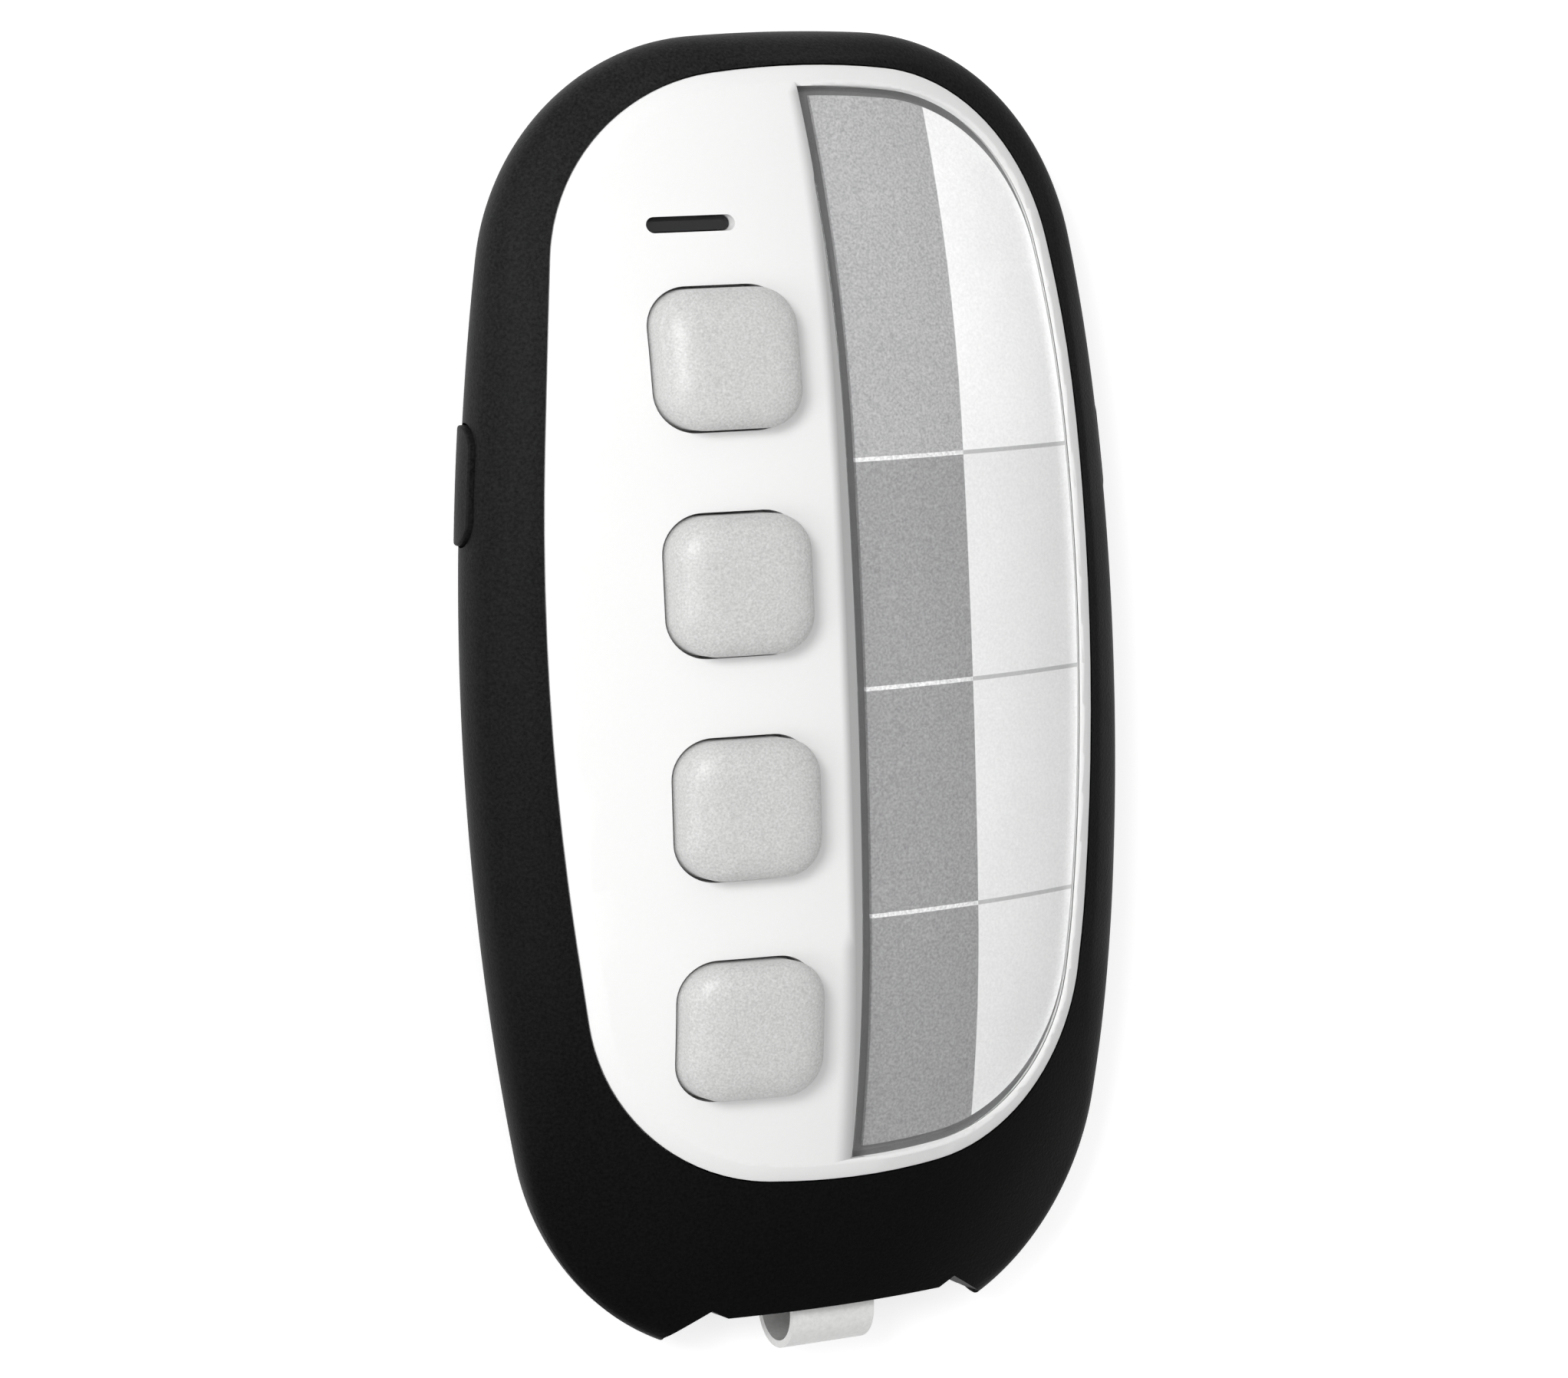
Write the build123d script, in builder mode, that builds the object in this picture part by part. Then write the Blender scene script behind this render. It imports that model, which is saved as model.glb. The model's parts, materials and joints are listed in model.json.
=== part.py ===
# Alarm key fob with four buttons, a label window and a key-ring loop.
# It lies on its back: +Z out of the front face, +Y towards the indicator end, +X to the right.
# The origin is on the flat back, behind the centre of the white face. Sizes are in millimetres.

from build123d import *
from math import asin, cos, hypot, sin, sqrt
import os

os.makedirs("parts", exist_ok=True)

# Body outline at its widest height
body_half_width = 24.25
body_centre_y = -4.5
body_side_radius = 182.0
body_head_length = 43.65
body_head_radius = 118.0
body_head_corner = 16.6
body_foot_length = 45.0
body_foot_radius = 41.0
body_foot_corner = 17.3

# Body heights and how far the flank draws in at the back and at the crown
waist_height = 6.4
crown_height = 7.4
back_inset = 4.2
crown_inset = 6.4
lower_flank_shares = [(0, 1), (0.19, 0.57), (0.5, 0.26), (1, 0)]
upper_flank_shares = [(0.28, 0.06), (0.52, 0.24), (0.76, 0.55), (1, 1)]
case_wall = 1.6
cover_height = 2.2
cover_floor = 1.5

# Feet, grooves and the lip between them at the loop end
foot_half_gap = 12.4
foot_y = -47.2
groove_half_gap = 9.4
groove_y = -45.4
lip_half_width = 8.3
lip_y = -46.05
foot_end_wall = 1.7

# Front face, a pillow of large radius, and the rim round it
face_half_width = 20.4
face_side_radius = 168.0
face_half_length = 36.8
face_end_radius = 61.3
face_corner_radius = 13.7
face_apex_height = 16.0
face_apex_y = -3.4
face_cross_radius = 47.6
face_long_radius = 400.0
face_long_half_span = 16.0
face_end_curve_radius = 80.0
face_curve_reach = 48.0
face_thickness = 2.0
face_clearance = 0.1
rim_width = 1.05
rim_drop = 0.5
case_edge_depth = 0.42
ledge_width = 1.5
ledge_thickness = 1.2
body_core_depth = 22.0

# Label window and card
window_left_x = -0.15
window_margin = 1.35
window_recess = 0.22
window_thickness = 0.8
window_clearance = 0.1
window_corner_radius = 0.5
card_gap = 0.05
card_thickness = 0.28
card_margin = 0.65
tray_thickness = 0.2

# Buttons
button_count = 4
button_pitch = 14.6
button_column_x = -8.72
button_first_y = 18.03
button_hole_size = 9.47
button_hole_corner = 2.7
button_clearance = 0.14
button_rise = 2.4
button_edge_radius = 0.9
button_wall = 1.2
button_roof = 1.4
button_flange_reach = 0.6
button_flange_thickness = 0.8
button_flange_gap = 0.12
button_stem_radius = 1.7
button_travel = 0.5

# Indicator slot
slot_x = -9.8
slot_y = 26.75
slot_length = 5.8
slot_width = 1.05
slot_depth = 0.7
lens_clearance = 0.08
lens_flange_reach = 0.9
lens_flange_thickness = 0.8
lens_led_gap = 0.25

# Circuit board and its screws
board_inset = 6.2
board_bottom = 5.6
board_thickness = 1.0
board_foot_y = -38.5
boss_radius = 1.5
boss_bore_radius = 0.8
boss_bore_depth = 3.3
boss_bite_depth = 1.7
boss_below_buttons = 7.08
boss_right_x = 12.8
boss_right_y = 25.5
screw_head_radius = 1.8
screw_head_height = 1.1
screw_length = 4.1
screw_clearance_radius = 1.1
screw_thread_clearance = 0.02
screw_slot_length = 2.2
screw_slot_width = 0.4
screw_slot_depth = 0.5

# Press switches under the buttons
switch_size = 6.0
switch_height = 3.4
switch_corner = 0.6
plunger_radius = 1.45
plunger_clearance = 0.08
plunger_rise = 0.8
plunger_hidden = 0.8
plunger_end_gap = 0.2

# Coin cell, its holder and its contacts
cell_radius = 10.0
cell_thickness = 3.2
cell_can_shoulder = 0.6
cell_can_step = 0.9
cell_y = -8.0
cell_floor_gap = 0.15
holder_clearance = 0.15
holder_wall = 1.3
holder_gap_width = 7.0
contact_thickness = 0.25
contact_width = 4.0
contact_reach = 5.5

# Electronics on the board
led_length = 3.0
led_width = 1.6
led_height = 0.9
chip_size = 7.0
chip_height = 1.0
chip_x = 7.5
chip_y = 3.5
chip_lead_count = 8
chip_lead_width = 0.4
chip_lead_reach = 1.0
chip_lead_thickness = 0.2
radio_length = 14.0
radio_width = 10.0
radio_height = 2.2
radio_y = -10.5
radio_corner = 0.5
crystal_length = 5.0
crystal_width = 3.2
crystal_height = 1.2
crystal_y = 14.0
antenna_wire_radius = 0.4
antenna_half_span = 9.0
antenna_y = 31.0
antenna_height = 2.2
antenna_bend_radius = 1.2
antenna_x = 1.0

# Side catches, each a pad on a moulded plate that flexes inwards
catch_y = 10.4
catch_pad_length = 7.8
catch_pad_bottom = 3.3
catch_pad_top = 7.3
catch_pad_corner = 1.7
catch_pad_proud = 0.35
catch_pad_edge_radius = 0.15
catch_window_clearance = 0.15
catch_plate_length = 10.4
catch_plate_thickness = 0.9
catch_ledge_gap = 0.17
catch_sill_wall = 0.9
catch_travel = 1.0
catch_board_gap = 0.66

# Cover lip and the seal round it
lip_clearance = 0.15
lip_thickness = 1.0
lip_rise = 0.8
seal_wall = 0.4
seal_width = 0.6
seal_height = 0.5

# Key-ring loop, a strip bent to a U
loop_width = 6.2
loop_thickness = 0.5
loop_depth = 5.12
loop_centre_height = 5.95
loop_axis_y = -46.6
loop_leg_length = 3.1
loop_toe_reach = 0.5
loop_slot_clearance = 0.05

# Overrun of cutting bodies
overrun = 3.0

# Heights and places that follow from the sizes above
board_top = board_bottom + board_thickness
plunger_top = board_top + switch_height + plunger_rise
switch_bore_depth = plunger_hidden + button_travel + plunger_end_gap
button_places = [button_first_y - button_pitch * number for number in range(button_count)]
boss_places = [
    (button_column_x, button_first_y - button_pitch / 2),
    (button_column_x, button_places[-1] - boss_below_buttons),
    (boss_right_x, boss_right_y),
    (boss_right_x, -boss_right_y),
]
card_top_depth = window_recess + window_thickness + card_gap
tray_top_depth = card_top_depth + card_thickness
pocket_depth = tray_top_depth + tray_thickness
ledge_depth = face_thickness + ledge_thickness
sky = face_apex_height + overrun
face_axis_height = face_apex_height - face_cross_radius
face_bend = asin(face_long_half_span / face_long_radius)
face_end_centre_y = (face_long_radius - face_end_curve_radius) * sin(face_bend)
face_end_centre_drop = face_long_radius - (face_long_radius - face_end_curve_radius) * cos(face_bend)
cell_bottom = cover_floor + cell_floor_gap
cell_top = cell_bottom + cell_thickness
cavity_foot_y = groove_y + foot_end_wall
lip_top = cover_height + lip_rise


# Outlines: ovals of eight tangent arcs
def end_arcs(half_width, side_radius, length, end_radius, corner_radius):
    """Junctions of one quarter of the oval: side to corner, mid corner, corner to end."""
    side_centre = Vector(half_width - side_radius, 0)
    end_centre = Vector(0, length - end_radius)
    to_side = side_radius - corner_radius
    to_end = end_radius - corner_radius
    span = hypot(end_centre.X - side_centre.X, end_centre.Y - side_centre.Y)
    along = (to_side**2 - to_end**2 + span**2) / (2 * span)
    aside = sqrt(to_side**2 - along**2)
    unit = (end_centre - side_centre) / span
    normal = Vector(unit.Y, -unit.X)
    choices = [side_centre + unit * along + normal * aside * turn for turn in (1, -1)]
    corner = max(choices, key=lambda point: point.X + point.Y)
    from_side = (corner - side_centre).normalized()
    from_end = (corner - end_centre).normalized()
    middle = (from_side + from_end).normalized()
    return (
        side_centre + from_side * side_radius,
        corner + middle * corner_radius,
        end_centre + from_end * end_radius,
    )


def oval_sketch(half_width, centre_y, side_radius, head, foot):
    """Oval with its own head and foot, each (length, end radius, corner radius)."""
    quarters = []
    for turn, shape in ((1, head), (-1, foot)):
        points = end_arcs(half_width, side_radius, *shape)
        quarters.append([Vector(point.X, centre_y + turn * point.Y) for point in points])
    (head_side, head_mid, head_end), (foot_side, foot_mid, foot_end) = quarters

    def across(point):
        return Vector(-point.X, point.Y)

    head_tip = Vector(0, centre_y + head[0])
    foot_tip = Vector(0, centre_y - foot[0])
    right = Vector(half_width, centre_y)
    with BuildSketch(Plane.XY) as oval:
        with BuildLine():
            ThreePointArc(foot_side, right, head_side)
            ThreePointArc(head_side, head_mid, head_end)
            ThreePointArc(head_end, head_tip, across(head_end))
            ThreePointArc(across(head_end), across(head_mid), across(head_side))
            ThreePointArc(across(head_side), across(right), across(foot_side))
            ThreePointArc(across(foot_side), across(foot_mid), across(foot_end))
            ThreePointArc(across(foot_end), foot_tip, foot_end)
            ThreePointArc(foot_end, foot_mid, foot_side)
        make_face()
    return oval.sketch


def body_outline(inset):
    """Widest outline of the body, drawn in by an inset."""
    return oval_sketch(
        body_half_width - inset,
        body_centre_y,
        body_side_radius - inset,
        (body_head_length - inset, body_head_radius - inset, body_head_corner - inset),
        (body_foot_length - inset, body_foot_radius - inset, body_foot_corner - inset),
    )


def face_outline(inset):
    """Outline of the white face, drawn in by an inset."""
    end = (face_half_length - inset, face_end_radius - inset, face_corner_radius - inset)
    return oval_sketch(face_half_width - inset, 0, face_side_radius - inset, end, end)


def card_outline(inset):
    """Right-hand part of the face inside its rim, with a straight left side."""
    with BuildSketch(Plane.XY) as card:
        add(face_outline(window_margin + inset))
        with Locations((window_left_x + inset, 0)):
            Rectangle(
                face_half_width,
                2 * face_half_length,
                align=(Align.MIN, Align.CENTER),
                mode=Mode.INTERSECT,
            )
    return card.sketch


def window_outline(clearance):
    """Outline of the label's pocket with its two rounded corners."""
    with BuildSketch(Plane.XY) as window:
        add(card_outline(clearance))
        fillet(window.vertices().group_by(Axis.X)[0], radius=window_corner_radius - clearance)
    return window.sketch


def button_outline(growth):
    """Rounded square of a button hole, grown on all sides."""
    size = button_hole_size + 2 * growth
    with BuildSketch(Plane.XY) as square:
        RectangleRounded(size, size, button_hole_corner + growth)
    return square.sketch


# Surfaces: layers parallel to the pillow of the face
def face_curve(depth):
    """Points and mid-points of the lengthwise curve, as (y, distance from the cross axis)."""
    last = asin((face_curve_reach - face_end_centre_y) / face_end_curve_radius)
    radius = face_end_curve_radius - depth
    centre_radius = face_long_radius - depth

    def end_point(angle, side):
        y = face_apex_y + side * (face_end_centre_y + radius * sin(angle))
        return (y, face_cross_radius - face_end_centre_drop + radius * cos(angle))

    def centre_point(angle):
        y = face_apex_y + centre_radius * sin(angle)
        return (y, face_cross_radius - face_long_radius + centre_radius * cos(angle))

    middle = (face_bend + last) / 2
    return [
        end_point(last, -1),
        end_point(middle, -1),
        centre_point(-face_bend),
        centre_point(0),
        centre_point(face_bend),
        end_point(middle, 1),
        end_point(last, 1),
    ]


def face_layer(top_depth, bottom_depth):
    """Solid between two depths below the face, revolved about the cross axis."""
    outer = face_curve(top_depth)
    inner = face_curve(bottom_depth)
    axis_plane = Plane(origin=(0, 0, face_axis_height), x_dir=(0, 1, 0), z_dir=(-1, 0, 0))
    with BuildPart() as layer:
        with BuildSketch(axis_plane):
            with BuildLine():
                for curve in (outer, inner):
                    for first in (0, 2, 4):
                        ThreePointArc(*curve[first : first + 3])
                Line(outer[0], inner[0])
                Line(outer[-1], inner[-1])
            make_face()
        revolve(axis=Axis((0, 0, face_axis_height), (0, 1, 0)))
    return layer.part


def layer_height(depth, x, y):
    """Height of the layer at a depth below the face, at a place under it."""
    along = abs(y - face_apex_y)
    if along < face_long_half_span:
        fall = face_long_radius - sqrt((face_long_radius - depth) ** 2 - along**2)
    else:
        reach = along - face_end_centre_y
        fall = face_end_centre_drop - sqrt((face_end_curve_radius - depth) ** 2 - reach**2)
    return face_axis_height + sqrt((face_cross_radius - fall) ** 2 - x**2)


def body_block(extra_inset):
    """Body inside its flanks, drawn in all round by an extra inset."""
    lower = [(waist_height * up, back_inset * draw) for up, draw in lower_flank_shares]
    upper = [
        (waist_height + crown_height * up, crown_inset * draw)
        for up, draw in upper_flank_shares
    ]
    with BuildPart() as block:
        for height, inset in lower + upper:
            with BuildSketch(Plane.XY.offset(height)):
                add(body_outline(inset + extra_inset))
        loft()
    return block.part


def foot_cut():
    """Prism that leaves two feet, two grooves and a lip at the loop end."""
    outside = foot_y - overrun
    half = [
        (foot_half_gap, outside),
        (foot_half_gap, foot_y),
        (groove_half_gap, groove_y),
        (lip_half_width, lip_y),
    ]
    points = half + [(-x, y) for x, y in reversed(half)]
    with BuildPart() as cut:
        with BuildSketch(Plane.XY):
            with BuildLine():
                Polyline(*points, close=True)
            make_face()
        extrude(amount=face_apex_height)
    return cut.part


def flank_inset(height):
    """How far the lower flank is drawn in at a height below the waist."""
    stations = [(waist_height * up, back_inset * draw) for up, draw in lower_flank_shares]
    for (low, low_inset), (high, high_inset) in zip(stations, stations[1:]):
        if low <= height <= high:
            return low_inset + (high_inset - low_inset) * (height - low) / (high - low)
    return 0


def trimmed_outline(inset, foot_limit):
    """Body outline drawn in by an inset and cut straight across at the loop end."""
    with BuildSketch(Plane.XY) as outline:
        add(body_outline(inset))
        with Locations((0, foot_limit)):
            Rectangle(
                2 * body_half_width,
                2 * body_head_length,
                align=(Align.CENTER, Align.MIN),
                mode=Mode.INTERSECT,
            )
    return outline.sketch


def prism(outline, bottom, top, x=0, y=0):
    """Upright prism of a flat outline between two heights."""
    with BuildPart() as solid:
        with BuildSketch(Plane.XY.offset(bottom)):
            with Locations((x, y)):
                add(outline)
        extrude(amount=top - bottom)
    return solid.part


def face_slab(outline, top_depth, bottom_depth, x=0, y=0, bottom=0):
    """Upright prism of a flat outline, cut off at two depths below the face."""
    with BuildPart() as slab:
        add(prism(outline, bottom, sky, x, y))
        add(face_layer(top_depth, bottom_depth), mode=Mode.INTERSECT)
        split(bisect_by=Plane.XY.offset(bottom), keep=Keep.TOP)
    return slab.part


def disc(radius):
    """Flat disc."""
    with BuildSketch(Plane.XY) as circle:
        Circle(radius)
    return circle.sketch


def slot(growth):
    """Outline of the indicator slot, grown on all sides."""
    with BuildSketch(Plane.XY) as outline:
        SlotOverall(slot_length + 2 * growth, slot_width + 2 * growth)
    return outline.sketch


def side_plane(side, x):
    """Plane across the body at +x or -x, facing outwards, with its y axis up."""
    return Plane(origin=(side * x, 0, 0), x_dir=(0, side, 0), z_dir=(side, 0, 0))


def catch_pad_prism(side, growth):
    """Rounded pad outline carried outwards from the catch plate."""
    height = catch_pad_top - catch_pad_bottom
    middle = (catch_pad_top + catch_pad_bottom) / 2
    with BuildPart() as solid:
        with BuildSketch(side_plane(side, catch_plate_outer_x)):
            with Locations((side * catch_y, middle)):
                RectangleRounded(
                    catch_pad_length + 2 * growth,
                    height + 2 * growth,
                    catch_pad_corner + growth,
                )
        extrude(amount=body_half_width + overrun - catch_plate_outer_x)
    return solid.part


under_face = face_layer(case_edge_depth, body_core_depth)
body_solid = body_block(0)
foot_notches = foot_cut()
edge_inset = flank_inset(cover_height)
catch_side_drop = body_side_radius - sqrt(body_side_radius**2 - (catch_y - body_centre_y) ** 2)
catch_side_x = body_half_width - catch_side_drop
catch_plate_inner_x = catch_side_x - board_inset + catch_travel + catch_board_gap
catch_plate_outer_x = catch_plate_inner_x + catch_plate_thickness
catch_plate_end_y = catch_y + catch_plate_length / 2
catch_plate_top = layer_height(ledge_depth, catch_plate_outer_x, catch_plate_end_y) - catch_ledge_gap


# Case body: the deep black shell with the opening for the face
inside = trimmed_outline(0, cavity_foot_y)
ledge_outline = trimmed_outline(0, -face_half_length - case_wall)
with BuildPart() as cavity:
    add(face_slab(inside, case_edge_depth + case_wall, body_core_depth))
    add(face_slab(ledge_outline, 0, ledge_depth), mode=Mode.SUBTRACT)
    add(body_block(case_wall), mode=Mode.INTERSECT)

with BuildPart() as case_body:
    add(body_solid)
    add(under_face, mode=Mode.INTERSECT)
    add(foot_notches, mode=Mode.SUBTRACT)
    split(bisect_by=Plane.XY.offset(cover_height), keep=Keep.TOP)
    add(face_slab(face_outline(-face_clearance), -overrun, face_thickness), mode=Mode.SUBTRACT)
    add(cavity.part, mode=Mode.SUBTRACT)
    add(prism(face_outline(ledge_width), waist_height, sky), mode=Mode.SUBTRACT)
    # Windows for the side catches, over a thinned sill
    for side in (1, -1):
        add(catch_pad_prism(side, catch_window_clearance), mode=Mode.SUBTRACT)
        sill_x = catch_side_x - edge_inset - catch_sill_wall
        with Locations((side * sill_x, catch_y, cover_height)):
            Box(
                case_wall,
                catch_pad_length + 2 * catch_window_clearance,
                (catch_pad_bottom - cover_height) * 2,
                align=(Align.MAX if side > 0 else Align.MIN, Align.CENTER, Align.CENTER),
                mode=Mode.SUBTRACT,
            )
    # Groove for the seal in the edge that meets the cover
    seal_outer = trimmed_outline(edge_inset + seal_wall, groove_y + seal_wall)
    seal_reach = seal_wall + seal_width
    seal_inner = trimmed_outline(edge_inset + seal_reach, groove_y + seal_reach)
    with BuildSketch(Plane.XY.offset(cover_height)):
        add(seal_outer)
        add(seal_inner, mode=Mode.SUBTRACT)
    extrude(amount=seal_height, mode=Mode.SUBTRACT)
    # Slots for the legs of the key-ring loop
    leg_offset = (loop_depth - loop_thickness) / 2
    for leg in (1, -1):
        with Locations((0, lip_y, loop_centre_height + leg * leg_offset)):
            Box(
                loop_width + 2 * loop_slot_clearance,
                2 * loop_leg_length,
                loop_thickness + 2 * loop_slot_clearance,
                mode=Mode.SUBTRACT,
            )
case_body.part.label = "case_body"
export_step(case_body.part, "parts/case_body.step")


# Seal: a flat ring of silicone in the groove of the case
with BuildPart() as cover_seal:
    with BuildSketch(Plane.XY.offset(cover_height)):
        add(seal_outer)
        add(seal_inner, mode=Mode.SUBTRACT)
    extrude(amount=seal_height)
cover_seal.part.label = "cover_seal"
export_step(cover_seal.part, "parts/cover_seal.step")


# Rear cover: the shallow black back with a lip that enters the case
lip_inset = edge_inset + case_wall + lip_clearance
lip_foot_y = cavity_foot_y + lip_clearance
with BuildPart() as rear_cover:
    add(body_solid)
    add(foot_notches, mode=Mode.SUBTRACT)
    split(bisect_by=Plane.XY.offset(cover_height), keep=Keep.BOTTOM)
    with BuildSketch(Plane.XY.offset(cover_floor)):
        add(trimmed_outline(lip_inset, lip_foot_y))
    extrude(amount=lip_top - cover_floor)
    with BuildSketch(Plane.XY.offset(cover_floor)):
        add(trimmed_outline(lip_inset + lip_thickness, lip_foot_y + lip_thickness))
    extrude(amount=lip_top - cover_floor, mode=Mode.SUBTRACT)
rear_cover.part.label = "rear_cover"
export_step(rear_cover.part, "parts/rear_cover.step")


# Side catches: a pad through the case wall on a thin plate that stands on the cover's lip
pad_limit = body_block(-catch_pad_proud)
for name, side in (("side_catch_right", 1), ("side_catch_left", -1)):
    with BuildPart() as side_catch:
        add(catch_pad_prism(side, 0))
        add(pad_limit, mode=Mode.INTERSECT)
        fillet(
            side_catch.faces().sort_by(Axis.X)[-1 if side > 0 else 0].edges(),
            radius=catch_pad_edge_radius,
        )
        with BuildSketch(side_plane(side, catch_plate_inner_x)):
            with Locations((side * catch_y, lip_top)):
                Rectangle(
                    catch_plate_length,
                    catch_plate_top - lip_top,
                    align=(Align.CENTER, Align.MIN),
                )
        extrude(amount=catch_plate_thickness)
    side_catch.part.label = name
    export_step(side_catch.part, f"parts/{name}.step")


# Face plate: the white pillow with its rim, button holes, slot, window pocket and bosses
with BuildPart() as face_plate:
    add(prism(face_outline(0), 0, sky))
    add(face_layer(0, body_core_depth), mode=Mode.INTERSECT)
    crown = face_plate.faces().filter_by(GeomType.REVOLUTION).sort_by(Axis.Z)[-1]
    chamfer(
        crown.edges().sort_by(Axis.X)[-1],
        length=rim_width,
        length2=rim_drop,
        reference=crown,
    )
    add(face_layer(-overrun, face_thickness), mode=Mode.INTERSECT)
    for x, y in boss_places:
        add(face_slab(disc(boss_radius), boss_bite_depth, body_core_depth, x, y, board_top))
    with BuildSketch(Plane.XY.offset(board_top)):
        with Locations(*boss_places):
            Circle(boss_bore_radius)
    extrude(amount=boss_bore_depth, mode=Mode.SUBTRACT)
    for y in button_places:
        hole = prism(button_outline(0), board_top, sky, button_column_x, y)
        add(hole, mode=Mode.SUBTRACT)
    add(prism(slot(0), board_top, sky, slot_x, slot_y), mode=Mode.SUBTRACT)
    add(face_slab(window_outline(0), -overrun, pocket_depth), mode=Mode.SUBTRACT)
face_plate.part.label = "face_plate"
export_step(face_plate.part, "parts/face_plate.step")


# Label: a dark tray in the pocket, the card on it and the clear window over both
window_edge = window_outline(window_clearance)
window_layers = [
    ("label_tray", window_edge, tray_top_depth, pocket_depth),
    ("label_card", card_outline(card_margin), card_top_depth, tray_top_depth),
    ("label_window", window_edge, window_recess, window_recess + window_thickness),
]
for name, outline, top_depth, bottom_depth in window_layers:
    with BuildPart() as window_piece:
        add(face_slab(outline, top_depth, bottom_depth))
    window_piece.part.label = name
    export_step(window_piece.part, f"parts/{name}.step")


# Buttons: hollow caps with a flange under the plate and a stem on the switch
flange_top_depth = face_thickness + button_flange_gap
flange_bottom_depth = flange_top_depth + button_flange_thickness
stem_top_depth = button_roof / 2 - button_rise
for number, y in enumerate(button_places, start=1):
    place = (button_column_x, y)
    cap = button_outline(-button_clearance)
    flange = button_outline(button_flange_reach)
    hollow = button_outline(-button_clearance - button_wall)
    stem = disc(button_stem_radius)
    with BuildPart() as button:
        add(face_slab(cap, -button_rise, flange_bottom_depth, *place))
        fillet(button.faces().sort_by(Axis.Z)[-1].edges(), radius=button_edge_radius)
        add(face_slab(flange, flange_top_depth, flange_bottom_depth, *place))
        add(
            face_slab(hollow, button_roof - button_rise, body_core_depth, *place),
            mode=Mode.SUBTRACT,
        )
        add(face_slab(stem, stem_top_depth, body_core_depth, *place, plunger_top))
    button.part.label = f"button_{number}"
    export_step(button.part, f"parts/button_{number}.step")


# Press switches: a square housing with a bore, and the plunger that the stem pushes
for number, y in enumerate(button_places, start=1):
    with BuildPart() as switch_housing:
        with BuildSketch(Plane.XY.offset(board_top)):
            with Locations((button_column_x, y)):
                Rectangle(switch_size, switch_size)
        extrude(amount=switch_height)
        chamfer(switch_housing.edges().filter_by(Axis.Z), length=switch_corner)
        with BuildSketch(Plane.XY.offset(board_top + switch_height - switch_bore_depth)):
            with Locations((button_column_x, y)):
                Circle(plunger_radius + plunger_clearance)
        extrude(amount=switch_bore_depth, mode=Mode.SUBTRACT)
    switch_housing.part.label = f"switch_housing_{number}"
    export_step(switch_housing.part, f"parts/switch_housing_{number}.step")

    with BuildPart() as plunger:
        with BuildSketch(Plane.XY.offset(plunger_top - plunger_rise - plunger_hidden)):
            with Locations((button_column_x, y)):
                Circle(plunger_radius)
        extrude(amount=plunger_rise + plunger_hidden)
    plunger.part.label = f"switch_plunger_{number}"
    export_step(plunger.part, f"parts/switch_plunger_{number}.step")


# Indicator: a dark lens in the slot, guiding the light of the lamp on the board
lens_bottom = board_top + led_height + lens_led_gap
lens_flange_depth = face_thickness + lens_flange_thickness
lens_place = (slot_x, slot_y, lens_bottom)
with BuildPart() as indicator_lens:
    add(face_slab(slot(-lens_clearance), slot_depth, body_core_depth, *lens_place))
    add(face_slab(slot(lens_flange_reach), face_thickness, lens_flange_depth, *lens_place))
indicator_lens.part.label = "indicator_lens"
export_step(indicator_lens.part, "parts/indicator_lens.step")

with BuildPart() as indicator_led:
    with BuildSketch(Plane.XY.offset(board_top)):
        with Locations((slot_x, slot_y)):
            Rectangle(led_length, led_width)
    extrude(amount=led_height)
indicator_led.part.label = "indicator_led"
export_step(indicator_led.part, "parts/indicator_led.step")


# Circuit board and the screws that hold it to the bosses
with BuildPart() as circuit_board:
    with BuildSketch(Plane.XY.offset(board_bottom)):
        add(trimmed_outline(board_inset, board_foot_y))
        with Locations(*boss_places):
            Circle(screw_clearance_radius, mode=Mode.SUBTRACT)
    extrude(amount=board_thickness)
circuit_board.part.label = "circuit_board"
export_step(circuit_board.part, "parts/circuit_board.step")

with BuildPart() as board_screws:
    with BuildSketch(Plane.XY.offset(board_bottom - screw_head_height)):
        with Locations(*boss_places):
            Circle(screw_head_radius)
    extrude(amount=screw_head_height)
    with BuildSketch(Plane.XY.offset(board_bottom)):
        with Locations(*boss_places):
            Circle(boss_bore_radius - screw_thread_clearance)
    extrude(amount=screw_length)
    with BuildSketch(Plane.XY.offset(board_bottom - screw_head_height)):
        with Locations(*boss_places):
            for turn in (0, 90):
                Rectangle(screw_slot_length, screw_slot_width, rotation=turn)
    extrude(amount=screw_slot_depth, mode=Mode.SUBTRACT)
board_screws.part.label = "board_screws"
export_step(board_screws.part, "parts/board_screws.step")


# Parts on the board: controller, radio can, crystal and wire antenna
with BuildPart() as microcontroller:
    with BuildSketch(Plane.XY.offset(board_top)):
        with Locations((chip_x, chip_y)):
            Rectangle(chip_size, chip_size)
    extrude(amount=chip_height)
    with BuildSketch(Plane.XY.offset(board_top)):
        with Locations((chip_x, chip_y)):
            with GridLocations(0, chip_size / chip_lead_count, 1, chip_lead_count):
                Rectangle(chip_size + 2 * chip_lead_reach, chip_lead_width)
    extrude(amount=chip_lead_thickness)
microcontroller.part.label = "microcontroller"
export_step(microcontroller.part, "parts/microcontroller.step")

with BuildPart() as radio_module:
    with BuildSketch(Plane.XY.offset(board_top)):
        with Locations((chip_x, radio_y)):
            RectangleRounded(radio_length, radio_width, radio_corner)
    extrude(amount=radio_height)
    fillet(radio_module.faces().sort_by(Axis.Z)[-1].edges(), radius=radio_corner / 2)
radio_module.part.label = "radio_module"
export_step(radio_module.part, "parts/radio_module.step")

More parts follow.
